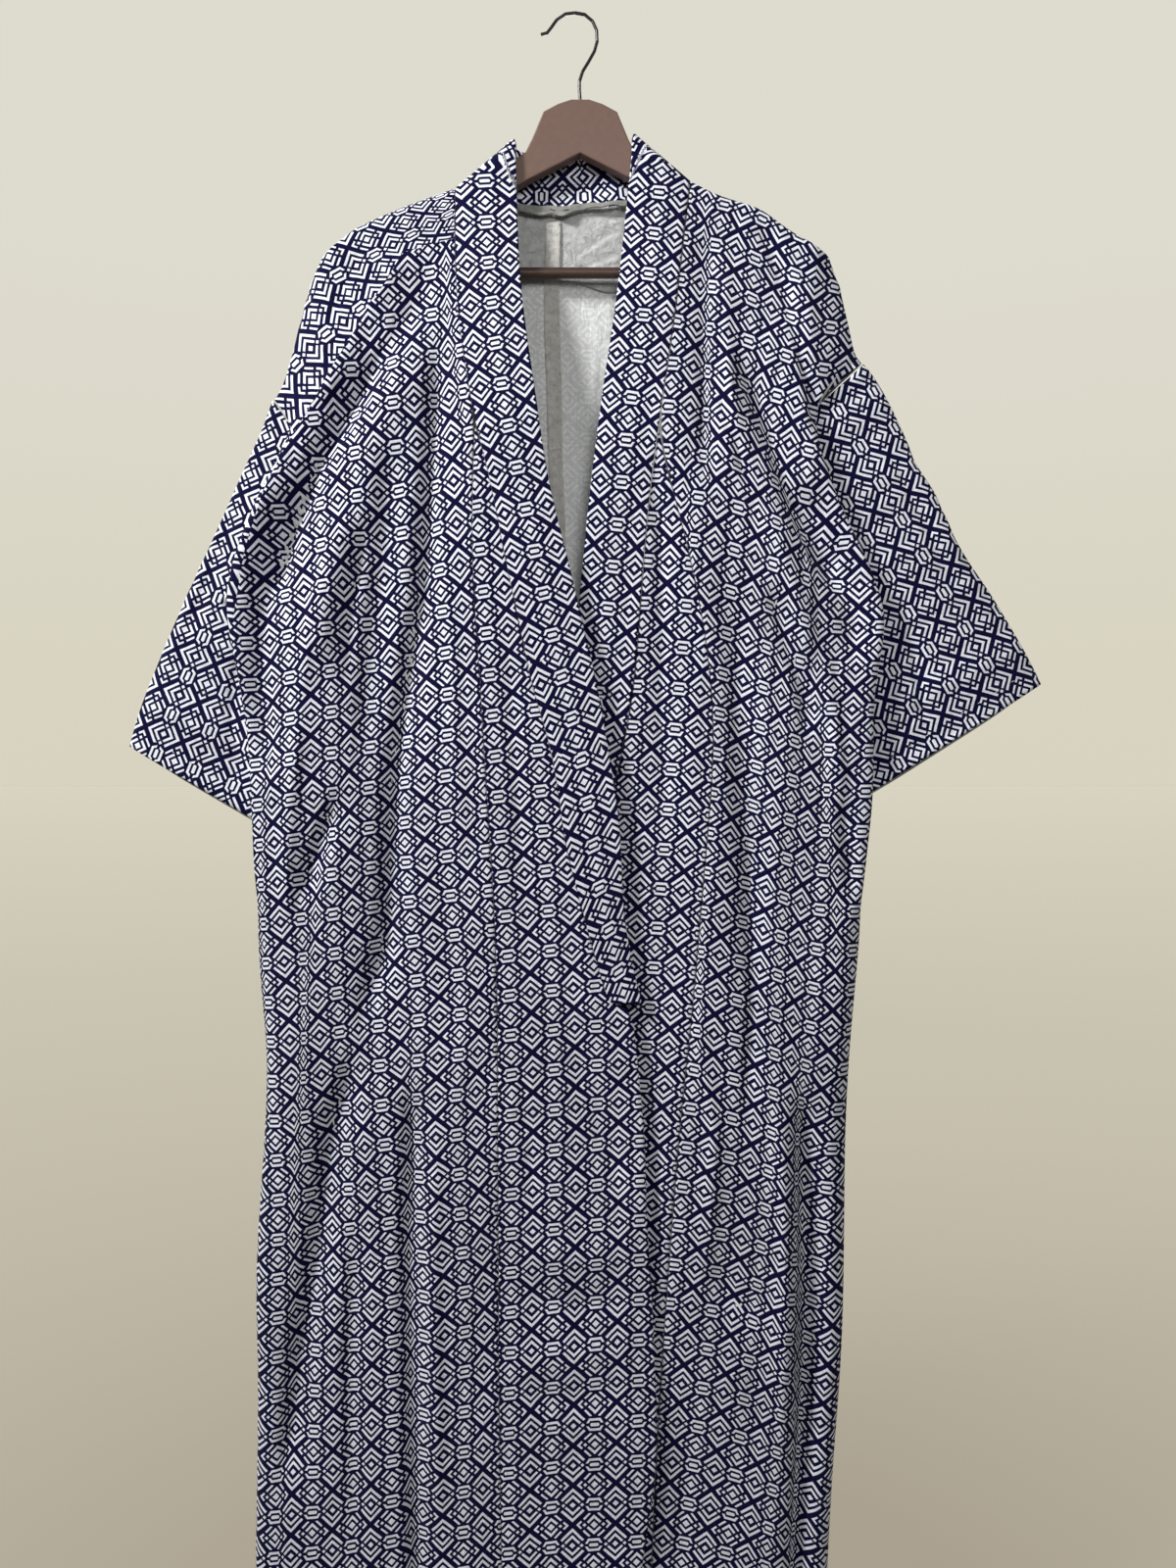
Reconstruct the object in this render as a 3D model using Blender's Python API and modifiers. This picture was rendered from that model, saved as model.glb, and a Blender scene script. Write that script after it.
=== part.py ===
"""Cotton kimono robe hung on a clothes hanger, one named object for each cut piece.

X runs to the viewer's right, +Y away from the viewer and +Z up. The origin is the inside
top of the hanger's hook, where a peg or rail carries it. All tables are in millimetres.
"""

import math

import bmesh
import bpy

MM = 0.001
LEFT, RIGHT = -1, 1
FRONT, BACK = -1, 1

# Cloth walls, and the gaps at a butted seam and under a lapped one
CLOTH = 1.5
COLLAR_THICK = 3.0
SEAM_GAP = 0.6
LAP = 1.9
NECK_GAP = 0.8

# The middle plane is the hanger's. Fronts stand off it by these depths.
CREST_RADIUS = 10.0
SETTLE_DROP = 230.0
LEFT_DEPTH = 27.0
LEFT_LAP_DEPTH = 31.0
RIGHT_DEPTH = 26.0
RIGHT_UNDER_DEPTH = 18.0
BACK_DEPTH = 19.0
HANGER_CLEAR = 8.8
TUCK_DEPTH = 10.5
SHALLOW_EDGE = 6.0
HEM_Z = -1505

# Rows of a body panel: their level at the inner seam, from the shoulder crest to the hem
ROW_LEVELS = (
    -157, -160, -165, -173, -186, -208, -240, -280, -326, -342, -373, -412, -452, -500, -548, -604,
    -656, -708, -745, -780, -818, -870, -930, -1000, -1070, -1140, -1210, -1290, -1380, HEM_Z,
)
CREST_DROPS = (0.0, 2.2, 6.5)
LEVEL_ROW = 7
TIP_ROW = 10
TIP_Z = -380
FACE_COLUMNS = 10
OVERLAP_COLUMNS = 7
FOLD_INSET = 4.0
LIP_INSET = 1.5

# Roundness of a side seam: distance from the edge, share of the panel's depth
SIDE_ROUND = ((1.5, 0.42), (6.5, 0.80))
SIDE_INSET = 17.0

# Drops below the crest over which folds and the back's unevenness set in
FOLD_ONSET = (12, 70)
BACK_ONSET = (40, 160)
COLLAR_END_Z = -883

# Outer edge of each front above the side seam, a row for each level from the crest down.
# Columns: fold x, fold z, edge x, edge z, edge depth. The fold is the rounded edge that
# shows. The edge meets the sleeve: on the crest where the depth is 0, then tucked behind.
LEFT_EDGE = (
    (-213, -208, -227, -221, 0), (-214, -211, -229, -224, 0), (-216, -217, -232, -229, 0),
    (-219, -226, -235, -236, 0), (-221, -239, -240, -249, 0), (-223, -257, -246, -268, 0),
    (-224, -284, -253, -293, 0), (-227, -312, -261, -318, 0), (-232, -342, -270, -345, 0),
    (-239, -355, -266, -349.5, 4.5), (-249.5, -380, -248.5, -373, 8.5),
    (-267, -411, -252, -406, TUCK_DEPTH), (-285, -450, -269, -447, TUCK_DEPTH),
    (-304, -500, -286, -500, TUCK_DEPTH), (-310, -540, -290, -548, TUCK_DEPTH),
    (-296, -600, -276, -604, TUCK_DEPTH), (-288, -656, -272, -656, TUCK_DEPTH),
    (-285, -708, -270, -708, TUCK_DEPTH), (-284, -745, -269, -745, TUCK_DEPTH),
    (-282, -780, -269, -780, TUCK_DEPTH),
)
RIGHT_EDGE = (
    (210, -205, 229, -217, 0), (210, -208, 231, -220, 0), (210, -214, 234, -226, 0),
    (210, -225, 238, -236, 0), (211, -241, 243, -250, 0), (213, -263, 248, -268, 0),
    (214, -288, 254, -290, 0), (213, -320, 259, -312, 0), (213.5, -332, 254, -317, 4.5),
    (214.5, -357, 215.5, -351, 8.5), (215, -384, 203, -378, TUCK_DEPTH),
    (224, -415, 208, -412, TUCK_DEPTH), (240, -454, 222, -452, TUCK_DEPTH),
    (264, -502, 245, -500, TUCK_DEPTH), (280, -548, 260, -548, TUCK_DEPTH),
    (265, -600, 249, -604, TUCK_DEPTH), (265, -656, 250, -656, TUCK_DEPTH),
    (265, -706, 250, -706, TUCK_DEPTH), (260, -745, 246, -745, TUCK_DEPTH),
    (257, -780, 244, -780, TUCK_DEPTH),
)

# Side seam below the armhole: level, x
LEFT_SIDE = (
    (-757, -282), (-845, -283), (-917, -273), (-969, -274), (-1040, -279), (-1140, -285),
    (-1203, -282), (-1281, -283), (HEM_Z, -286),
)
RIGHT_SIDE = (
    (-757, 257), (-814, 256), (-910, 247), (-989, 242), (-1123, 241), (-1224, 238),
    (-1299, 231), (-1392, 226), (HEM_Z, 222),
)

# Shoulder crest: x, level
LEFT_CREST = ((-227, -221), (-213, -208), (-202, -197), (-172, -182), (-137, -168), (-106, -157))
RIGHT_CREST = ((104, -151), (131, -164), (165, -175), (190, -193), (210, -205), (229, -217))

# Each front's inner seam, to the collar and then to its overlap: level, x
LEFT_SEAM = (
    (-157, -106), (-201, -106), (-272, -103), (-326, -95), (-373, -87), (-434, -89),
    (-494, -89), (-584, -83), (-706, -76), (-777, -71), (-888, -67), (-1162, -66), (HEM_Z, -61),
)
RIGHT_SEAM = (
    (-151, 104), (-208, 97), (-268, 90), (-326, 82), (-373, 75), (-450, 92), (-519, 108),
    (-604, 121), (-660, 123), (-717, 119), (-784, 113), (-889, 104), (-992, 93), (-1121, 83),
    (-1250, 74), (-1379, 68), (HEM_Z, 64),
)

# Collar on each front: its seam to the overlap, then its free edge: level, x
LEFT_COLLAR_SEAM = (
    (-373, -87), (-433, -71), (-486, -62), (-532, -51), (-581, -42), (-611, -36),
    (-664, -18), (-708, -12), (-755, -6), (-783, 3), (-823, 13), (-883, 31),
)
LEFT_COLLAR_FREE = (
    (-135, -52), (-222, -49), (-262, -46), (-339, -35), (-433, -21), (-468, -12), (-498, -4),
    (-528, 3), (-571, 11), (-631, 27), (-684, 31), (-725, 41), (-783, 42), (-823, 45),
    (-855, 51), (-883, 60),
)
RIGHT_COLLAR_SEAM = (
    (-373, 75), (-432, 67), (-510, 60), (-596, 54), (-674, 40), (-735, 25), (-800, 2), (-883, -28),
)
RIGHT_COLLAR_FREE = (
    (-126, 52), (-162, 48), (-203, 44), (-231, 41), (-266, 37), (-346, 25), (-432, 14), (-492, 8),
    (-555, 2), (-640, -14), (-735, -32), (-800, -54), (-883, -82),
)

# Free front edge of each overlap below the collar: level, x
LEFT_FRONT_EDGE = (
    (-883, 52), (-942, 56), (-989, 63), (-1063, 63), (-1136, 69), (-1209, 71),
    (-1290, 75), (-1339, 66), (-1407, 52), (HEM_Z, 48),
)
RIGHT_FRONT_EDGE = ((-883, -78), (-970, -84), (-1110, -88), (-1300, -90), (HEM_Z, -92))

# Collar round the back of the neck. Columns: seam x, seam z, free edge x, y, z
NECK_SECTIONS = (
    (-106, -157, -56, 0, -113), (-101, -160, -56, 8, -114), (-84, -166, -51, 12, -117),
    (-56, -170, -39, 13, -120), (-19, -171, -17, 14, -122), (8, -170, 6, 14, -122),
    (34, -167, 30, 13, -121), (62, -163, 46, 13, -118), (88, -158, 54, 11, -114),
    (99, -154, 56, 7, -111), (104, -151, 56, 0, -109),
)
COLLAR_COLUMNS = 4
COLLAR_CROWN = 1.2

# How far the collar's free edge stands above its seam: level of the seam, rise
COLLAR_RISE = ((-373, 0), (-326, 3), (-280, 6), (-240, 12), (-208, 20), (-186, 30),
               (-172, 37), (-163, 42), (-151, 44))

# Folds of the fronts. Columns: half width, height towards the viewer, run of x, level
LEFT_FOLDS = (
    (17, -8.5, ((-117, -262), (-125, -390), (-134, -519), (-149, -605), (-160, -691), (-166, -820),
                (-190, -914), (-215, -1000), (-228, -1103), (-245, -1206), (-256, -1320))),
    (17, -6.0, ((-125, -223), (-160, -287), (-202, -347), (-237, -407), (-258, -467), (-278, -536),
                (-272, -620))),
    (11, 4.0, ((-216, -262), (-221, -330), (-236, -372), (-260, -415), (-282, -460), (-298, -500))),
    (10, 3.5, ((-149, -222), (-177, -261), (-209, -321))),
    (22, 4.0, ((-150, -330), (-185, -450), (-212, -560), (-228, -690), (-235, -800))),
    (10, -3.5, ((-208, -700), (-224, -740), (-240, -800))),
    (15, -5.0, ((-12, -905), (18, -970), (50, -1050))),
    (22, 3.0, ((-66, -1096), (0, -1102), (60, -1100))),
    (20, -4.5, ((-70, -1140), (0, -1148), (60, -1136))),
    (20, 3.0, ((-60, -1196), (0, -1190), (60, -1182))),
    (10, -4.0, ((-146, -960), (-147, -1150), (-143, -1300), (-138, -1440))),
    (16, -3.0, ((-112, -560), (-106, -760), (-108, -900))),
    (18, 3.0, ((-112, -930), (-108, -1150), (-104, -1400))),
    (14, -3.5, ((-20, -1240), (-6, -1330), (-28, -1450))),
)
RIGHT_FOLDS = (
    (9, -5.0, ((165, -190), (175, -214), (182, -236), (192, -262))),
    (12, 4.0, ((205, -250), (208, -330), (210, -385), (225, -430), (245, -475), (266, -520))),
    (17, -7.0, ((140, -290), (160, -347), (178, -399), (196, -450), (216, -488), (240, -530))),
    (12, -4.0, ((174, -519), (196, -588), (210, -650))),
    (13, -4.0, ((72, -390), (78, -485), (80, -562), (78, -640), (84, -734))),
    (11, -3.5, ((116, -190), (114, -300), (112, -420))),
    (10, 3.0, ((137, -185), (138, -300), (144, -440))),
    (12, -6.5, ((203, -960), (208, -1120), (205, -1249), (198, -1400))),
    (14, 3.5, ((180, -940), (184, -1120), (182, -1300))),
    (14, -4.0, ((238, -690), (244, -770))),
    (22, 3.0, ((150, -800), (140, -980), (128, -1200))),
    (14, -3.5, ((112, -1120), (140, -1150), (176, -1170))),
)
BACK_FOLDS = (
    (20, 5.0, ((-190, -300), (-206, -640), (-215, -1000), (-205, -1400))),
    (18, -4.0, ((-150, -260), (-150, -620), (-138, -1050), (-146, -1420))),
    (16, 4.5, ((-95, -420), (-88, -800), (-96, -1300))),
    (15, -3.5, ((-48, -560), (-52, -900), (-40, -1350))),
    (17, 4.0, ((40, -500), (52, -900), (46, -1380))),
    (18, -4.0, ((96, -300), (92, -700), (104, -1200))),
    (20, 5.0, ((146, -280), (158, -620), (150, -1000), (140, -1400))),
    (14, -3.0, ((198, -420), (204, -760), (188, -1200))),
)

# Centre-back seam: level, x
CENTRE_BACK = ((-171, -19), (-244, -21), (-422, -16), (-548, -12), (-900, -14), (HEM_Z, -16))

# Sleeves: crest from the shoulder to the cuff, then the lower edge: x, level
LEFT_SLEEVE_CREST = (
    (-270.8, -346.6), (-279, -370), (-296, -407), (-312, -443), (-329, -480),
    (-346, -516), (-363, -552), (-379, -590), (-393, -622), (-402, -655),
)
LEFT_SLEEVE_FOOT = ((-261, -613), (-254, -652), (-243, -706), (-228, -756))
RIGHT_SLEEVE_CREST = (
    (259.8, -313.6), (278, -336), (297, -375), (304, -399), (321, -421),
    (348, -480), (371, -511), (393, -546), (411, -577), (422, -599),
)
RIGHT_SLEEVE_FOOT = ((243, -620), (246, -650), (246, -682), (242, -713))
LEFT_SLEEVE_ROWS = range(11, 16)
RIGHT_SLEEVE_ROWS = range(10, 16)

# Top edge of each sleeve, butted to the body's edge from the crest to the fold: x, level, depth
LEFT_SLEEVE_TOP = ((-270.8, -346.6, 0), (-267.0, -351.2, 4.3), (-250.0, -375.5, 6.4))
RIGHT_SLEEVE_TOP = ((259.8, -313.6, 0), (255.6, -318.8, 4.3), (217.0, -353.5, 6.4))
ARMHOLE_STEPS = 8
ARMHOLE_INSET = 3.0
ARMHOLE_FOOT_SHARE = 0.75
FOOT_STEPS = 5
SLEEVE_COLUMNS = 9
SLEEVE_DEPTH = 8.6
CUFF_DEPTH = 9.9
SLEEVE_BACK_DROP = 4.0

# Shoulder lining inside the back: sides and its wavy foot: x, level
LINING_SIDES = (-86, 84)
LINING_TOP_GAP = 7.0
LINING_COLUMNS = 12
LINING_STEPS = 5
LINING_FOOT = ((-96, -242), (-46, -238), (-23, -237), (3, -236), (26, -246), (60, -243), (92, -239))

# Hanger: half outline from the middle out, offsets and levels
HANGER_X = 5.3
HANGER_THICK = 12.0
HANGER_ROUND = 1.2
HANGER_OUTLINE = (
    (8, -79), (20, -83), (33, -90), (38, -102), (43, -114), (49, -126), (96, -159), (111, -167),
    (126, -173), (142, -179), (160, -187), (177, -197), (190, -206), (202, -215), (204, -221),
    (200, -228), (199, -241), (185, -241), (185, -225), (177, -217), (120, -190), (45, -150),
)
HANGER_ARCH_Z = -127
BAR_RADIUS = 4.85
BAR_Z = -232.0
BAR_HALF = 184.7
BAR_SIDES = 20

# Hook: wire radius and centre line from the head to the tip, x and level
WIRE_RADIUS = 1.5
HOOK_PATH = (
    (5.3, -78.6), (4.6, -68), (4.6, -60), (7.5, -51), (13, -42), (18, -33), (20.5, -24), (20, -14),
    (16.5, -6), (9.5, 0), (1, 1.5), (-8, 0.5), (-16, -5), (-21, -12), (-24.5, -16.5), (-30, -18),
)

# Finish of each material: base colour, roughness
FINISHES = {
    "navy_print_cotton": ((0.22, 0.23, 0.36), 0.85),
    "white_cotton": ((0.78, 0.79, 0.78), 0.9),
    "brown_hanger": ((0.22, 0.14, 0.10), 0.5),
    "black_wire": ((0.02, 0.02, 0.025), 0.35),
}


def smooth_curve(rows, key):
    """Value at key of the monotone cubic through (key, value) rows, held level past both ends."""
    rows = sorted(rows)
    if key <= rows[0][0]:
        return rows[0][1]
    if key >= rows[-1][0]:
        return rows[-1][1]
    slopes = [(b[1] - a[1]) / (b[0] - a[0]) for a, b in zip(rows, rows[1:])]
    tangents = [slopes[0]]
    for before, after in zip(slopes, slopes[1:]):
        tangents.append(2 * before * after / (before + after) if before * after > 0 else 0.0)
    tangents.append(slopes[-1])
    index = next(i for i in range(len(rows) - 1) if key <= rows[i + 1][0])
    (key_0, value_0), (key_1, value_1) = rows[index], rows[index + 1]
    span = key_1 - key_0
    t = (key - key_0) / span
    rise = (3 - 2 * t) * t * t
    bend_0 = span * tangents[index] * t * (1 - t) ** 2
    bend_1 = span * tangents[index + 1] * t * t * (t - 1)
    return value_0 + (value_1 - value_0) * rise + bend_0 + bend_1


def smooth_step(low, high, value):
    """0 at low, 1 at high and an even S between."""
    t = min(max((value - low) / (high - low), 0.0), 1.0)
    return t * t * (3 - 2 * t)


def mix(a, b, share):
    """Number or point part way from a to b."""
    if isinstance(a, tuple):
        return tuple(mix(p, q, share) for p, q in zip(a, b))
    return a + (b - a) * share


def along(points, share):
    """Point at a share of a polyline's length."""
    lengths = [math.dist(a, b) for a, b in zip(points, points[1:])]
    left = share * sum(lengths)
    for a, b, length in zip(points, points[1:], lengths):
        if left <= length:
            return mix(a, b, left / length)
        left -= length
    return points[-1]


def fold_height(folds, x, z):
    """Sum of the folds at one place, each a soft ridge or trough along its run."""
    total = 0.0
    for half_width, height, run in folds:
        nearest = half_width * 3.0
        for (x0, z0), (x1, z1) in zip(run, run[1:]):
            dx, dz = x1 - x0, z1 - z0
            t = ((x - x0) * dx + (z - z0) * dz) / (dx * dx + dz * dz)
            t = min(max(t, 0.0), 1.0)
            nearest = min(nearest, math.hypot(x - x0 - t * dx, z - z0 - t * dz))
        total += height * math.exp(-((nearest / half_width) ** 2))
    return total


def ripple(x, z):
    """Slight unevenness that keeps broad areas from lying flat."""
    return 0.7 * math.sin(x / 31 + z / 210) + 0.5 * math.sin(x / 17 - z / 145 + 1.3)


def stand_off(drop, depth, height):
    """Distance of the cloth from the middle plane at a drop below its crest."""
    if drop <= 0:
        return 0.0
    if drop < CREST_RADIUS:
        return math.sqrt(CREST_RADIUS ** 2 - (CREST_RADIUS - drop) ** 2)
    settled = CREST_RADIUS + (depth - CREST_RADIUS) * smooth_step(0, SETTLE_DROP, drop - CREST_RADIUS)
    return max(settled + height * smooth_step(*FOLD_ONSET, drop), HANGER_CLEAR)


def crest_of(side):
    """Crest table of a side."""
    return LEFT_CREST if side == LEFT else RIGHT_CREST


def face_y(side, facing, x, z, top=None):
    """Y of the front's or the back's cloth at x, z. top replaces the crest over the collar."""
    if top is None:
        top = smooth_curve(crest_of(side), x)
    if facing == BACK:
        height = fold_height(BACK_FOLDS, x, z) + ripple(x + 60, z)
        return stand_off(top - z, BACK_DEPTH, height * smooth_step(*BACK_ONSET, top - z))
    if side == LEFT:
        depth = mix(LEFT_DEPTH, LEFT_LAP_DEPTH, smooth_step(-150, 40, x))
        return -stand_off(top - z, depth, fold_height(LEFT_FOLDS, x, z) + ripple(x, z))
    depth = mix(RIGHT_UNDER_DEPTH, RIGHT_DEPTH, smooth_step(20, 120, x))
    return -stand_off(top - z, depth, fold_height(RIGHT_FOLDS, x, z) + ripple(x, z))


def edge_points(side, facing, row):
    """The four outermost points of a body row, from its edge round the fold to the face."""
    table = LEFT_EDGE if side == LEFT else RIGHT_EDGE
    inward = -side
    if row < len(table):
        fold_x, fold_z, edge_x, edge_z, edge_depth = table[row]
        start_x = fold_x + FOLD_INSET * inward
        start_y = face_y(side, facing, start_x, fold_z)
        start = (start_x, start_y, fold_z)
        edge = (edge_x, facing * edge_depth, edge_z)
        if edge_depth < SHALLOW_EDGE:
            foot = facing * mix(abs(start_y), CREST_RADIUS, 0.75)
            middle = (mix(edge_x, fold_x, 0.45), 0.75 * foot, mix(edge_z, fold_z, 0.45))
            lip = (fold_x - LIP_INSET * inward, mix(foot, start_y, 0.35), fold_z)
            return [edge, middle, lip, start]
        turn = 3.0 * max(0.0, 1 - abs(edge_x - fold_x) / 6.0)
        behind_y = facing * (edge_depth + turn)
        behind = (mix(edge_x, fold_x, 0.7), behind_y, mix(edge_z, fold_z, 0.7))
        lip = (fold_x, mix(facing * edge_depth, start_y, 0.5), fold_z)
        return [edge, behind, lip, start]
    z = ROW_LEVELS[row]
    side_x = smooth_curve(LEFT_SIDE if side == LEFT else RIGHT_SIDE, z)
    start_x = side_x + SIDE_INSET * inward
    start_y = face_y(side, facing, start_x, z)
    rounding = [(side_x + inset * inward, start_y * share, z) for inset, share in SIDE_ROUND]
    return [(side_x, facing * SEAM_GAP / 2, z), *rounding, (start_x, start_y, z)]


def row_level(side, row):
    """Level of a body row at the front's inner seam. The first rows follow the crest."""
    corner_z = (LEFT_CREST[-1] if side == LEFT else RIGHT_CREST[0])[1]
    if row < len(CREST_DROPS):
        return corner_z - CREST_DROPS[row]
    return ROW_LEVELS[row]


def seam_point(side, row):
    """X and level of a body row at the front's inner seam, also the back row's middle column."""
    z = row_level(side, row)
    return smooth_curve(LEFT_SEAM if side == LEFT else RIGHT_SEAM, z) + side * SEAM_GAP / 2, z


def neck_seam(x):
    """Level of the cut edge round the back of the neck."""
    return smooth_curve([(row[0], row[1]) for row in NECK_SECTIONS], x)


def neck_row(side, row):
    """The back's points between its neck column and the centre-back seam."""
    neck_x, neck_z = seam_point(side, row)
    level = ROW_LEVELS[row]
    middle_x = smooth_curve(CENTRE_BACK, level) + side * SEAM_GAP / 2
    corner_x, centre_x = NECK_SECTIONS[0 if side == LEFT else -1][0], CENTRE_BACK[0][1]
    stops = [entry[0] for entry in NECK_SECTIONS[1:-1] if side * (entry[0] - centre_x) >= 0]
    if side == RIGHT:
        stops.reverse()
    top_level, low_level = ROW_LEVELS[0], ROW_LEVELS[LEVEL_ROW]
    share = min((level - top_level) / (low_level - top_level), 1.0)
    points = []
    for stop in stops:
        x = mix(neck_x, middle_x, (stop - corner_x) / (centre_x - corner_x))
        z = mix(neck_seam(x) - SEAM_GAP / 2, low_level, share) if row < LEVEL_ROW else neck_z
        points.append((x, face_y(side, BACK, x, z), z))
    return points


def body_row(side, facing, row):
    """One row of a body panel, from its outer edge to its inner seam."""
    crest = crest_of(side)
    seam_x, seam_z = seam_point(side, row)
    points = edge_points(side, facing, row)
    start_x, _, start_z = points[-1]
    if row < len(CREST_DROPS):
        start_z = smooth_curve(crest, start_x) - CREST_DROPS[row]
        points[-1] = (start_x, face_y(side, facing, start_x, start_z), start_z)
    if row == 0:
        edge_x = (LEFT_EDGE if side == LEFT else RIGHT_EDGE)[0][2]
        xs = [mix(edge_x, start_x, step / 3) for step in range(4)]
        points = [(x, 0.0, smooth_curve(crest, x)) for x in xs]
    for step in range(1, FACE_COLUMNS + 1):
        x = mix(start_x, seam_x, step / FACE_COLUMNS)
        if row < len(CREST_DROPS):
            z = smooth_curve(crest, x) - CREST_DROPS[row]
        else:
            z = mix(start_z, seam_z, step / FACE_COLUMNS)
        points.append((x, face_y(side, facing, x, z), z))
    if facing == BACK:
        points += neck_row(side, row)
    return points


def overlap_rows(side):
    """Rows of the strip that laps across the middle, from its tip under the collar to the hem."""
    seam = LEFT_SEAM if side == LEFT else RIGHT_SEAM
    collar = LEFT_COLLAR_SEAM if side == LEFT else RIGHT_COLLAR_SEAM
    front_edge = LEFT_FRONT_EDGE if side == LEFT else RIGHT_FRONT_EDGE
    upper = [(z, collar) for z in (TIP_Z,) + ROW_LEVELS[TIP_ROW + 1:] if z > COLLAR_END_Z]
    step = [(COLLAR_END_Z - SEAM_GAP, collar), (COLLAR_END_Z - 3 * SEAM_GAP, front_edge)]
    lower = [(z, front_edge) for z in ROW_LEVELS if z < COLLAR_END_Z]
    rows = []
    for z, inner_edge in upper + step + lower:
        outer_x = smooth_curve(seam, z) - side * SEAM_GAP / 2
        inner_x = smooth_curve(inner_edge, z) + side * SEAM_GAP / 2
        xs = [mix(outer_x, inner_x, column / OVERLAP_COLUMNS) for column in range(OVERLAP_COLUMNS + 1)]
        rows.append([(x, face_y(side, FRONT, x, z), z) for x in xs])
    return rows


def collar_section(side, z):
    """Seam and free edge of the collar at one level of a front."""
    if z > LEFT_COLLAR_SEAM[0][0]:
        seam = LEFT_SEAM if side == LEFT else RIGHT_SEAM
    else:
        seam = LEFT_COLLAR_SEAM if side == LEFT else RIGHT_COLLAR_SEAM
    free = LEFT_COLLAR_FREE if side == LEFT else RIGHT_COLLAR_FREE
    gap = mix(SEAM_GAP / 2, NECK_GAP, smooth_step(-260, -180, z))
    seam_x = smooth_curve(seam, z) - side * gap
    free_z = z + smooth_curve(COLLAR_RISE, z)
    free_x = smooth_curve(free, free_z)
    top = NECK_SECTIONS[0 if side == LEFT else -1][4]
    free_y = face_y(side, FRONT, free_x, free_z, top)
    return (seam_x, face_y(side, FRONT, seam_x, z), z), (free_x, free_y, free_z)


def collar_rows():
    """Rows of the collar from its end on the left front, round the neck, to the right front's."""
    rows = [row for row in range(1, len(ROW_LEVELS)) if ROW_LEVELS[row] > COLLAR_END_Z]
    levels = [[row_level(side, row) for row in rows] + [COLLAR_END_Z] for side in (LEFT, RIGHT)]
    sections = [collar_section(LEFT, z) for z in reversed(levels[0])]
    for seam_x, seam_z, free_x, free_y, free_z in NECK_SECTIONS:
        crest = seam_z in (NECK_SECTIONS[0][1], NECK_SECTIONS[-1][1])
        side = LEFT if seam_x < 0 else RIGHT
        shift = side * NECK_GAP if crest else 0.0
        z = seam_z if crest else seam_z + NECK_GAP
        seam_y = 0.0 if crest else face_y(side, BACK, seam_x, seam_z)
        sections.append(((seam_x - shift, seam_y, z), (free_x, free_y, free_z)))
    sections += [collar_section(RIGHT, z) for z in levels[1]]
    grid = []
    for seam, free in sections:
        row = []
        for step in range(COLLAR_COLUMNS + 1):
            share = step / COLLAR_COLUMNS
            x, y, z = mix(seam, free, share)
            crown = COLLAR_CROWN * math.sin(math.pi * share)
            row.append((x, y + math.copysign(crown, y) if abs(y) > 1 else y, z))
        grid.append(row)
    return grid


def lining_rows():
    """Rows of the shoulder lining, from the neck seam to its foot, on the back's inner face."""
    rows = []
    for index in range(LINING_STEPS + 1):
        row = []
        for step in range(LINING_COLUMNS + 1):
            x = mix(float(LINING_SIDES[0]), float(LINING_SIDES[1]), step / LINING_COLUMNS)
            z = mix(neck_seam(x) - LINING_TOP_GAP, smooth_curve(LINING_FOOT, x), index / LINING_STEPS)
            side = LEFT if x < 0 else RIGHT
            row.append((x, face_y(side, BACK, x, z) - LAP, z))
        rows.append(row)
    return rows


def sleeve_grids(side):
    """Front and back rows of a sleeve, each from the crest inwards. They share the crest's points,
    and below the armhole those of the lower edge too."""
    table = LEFT_EDGE if side == LEFT else RIGHT_EDGE
    rows = LEFT_SLEEVE_ROWS if side == LEFT else RIGHT_SLEEVE_ROWS
    crest = LEFT_SLEEVE_CREST if side == LEFT else RIGHT_SLEEVE_CREST
    foot = LEFT_SLEEVE_FOOT if side == LEFT else RIGHT_SLEEVE_FOOT
    top_edge = LEFT_SLEEVE_TOP if side == LEFT else RIGHT_SLEEVE_TOP
    armhole = [top_edge[-1]]
    for row in rows:
        _, _, edge_x, edge_z, edge_depth = table[row]
        armhole.append((edge_x - ARMHOLE_INSET * side, edge_z, min(edge_depth - LAP, SLEEVE_DEPTH)))
    armhole[-1] = (*armhole[-1][:2], SLEEVE_DEPTH * ARMHOLE_FOOT_SHARE)
    count = ARMHOLE_STEPS + FOOT_STEPS
    front, back = [], []
    for index in range(count + 1):
        t = index / count
        top_x, top_z = along(crest, t)
        if index <= ARMHOLE_STEPS:
            low_x, low_z, low_depth = along(armhole, index / ARMHOLE_STEPS)
        else:
            low_x, low_z = along(foot, (index - ARMHOLE_STEPS - 1) / (FOOT_STEPS - 1))
            low_depth = 0.0
        front_row, back_row = [], []
        for column in range(SLEEVE_COLUMNS + 1):
            w = (column / SLEEVE_COLUMNS) ** 1.3
            x, z = mix(top_x, low_x, w), mix(top_z, low_z, w)
            edge_x, edge_z, edge_depth = along(top_edge, w)
            swell = (CUFF_DEPTH - SLEEVE_DEPTH) * smooth_step(0.75, 1.0, t) * (1 - smooth_step(0.3, 0.6, w))
            girth = (SLEEVE_DEPTH + swell) * math.sqrt(1 - (1 - w) ** 5)
            if low_depth == 0.0:
                depth = girth * math.sqrt(1 - w ** 6)
            else:
                depth = mix(girth, low_depth, smooth_step(0.5, 1.0, w))
            depth = mix(edge_depth, depth, smooth_step(0, 3, index))
            if index == 0:
                x, z = edge_x, edge_z
            drop = SLEEVE_BACK_DROP * t ** 6 * smooth_step(0.0, 0.3, w) * (1 - smooth_step(0.8, 1.0, w))
            front_row.append((x, -depth, z))
            back_row.append((x + side * 0.5 * drop, depth, z - 0.8 * drop))
        front.append(front_row)
        back.append(back_row)
    return front, back


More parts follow.
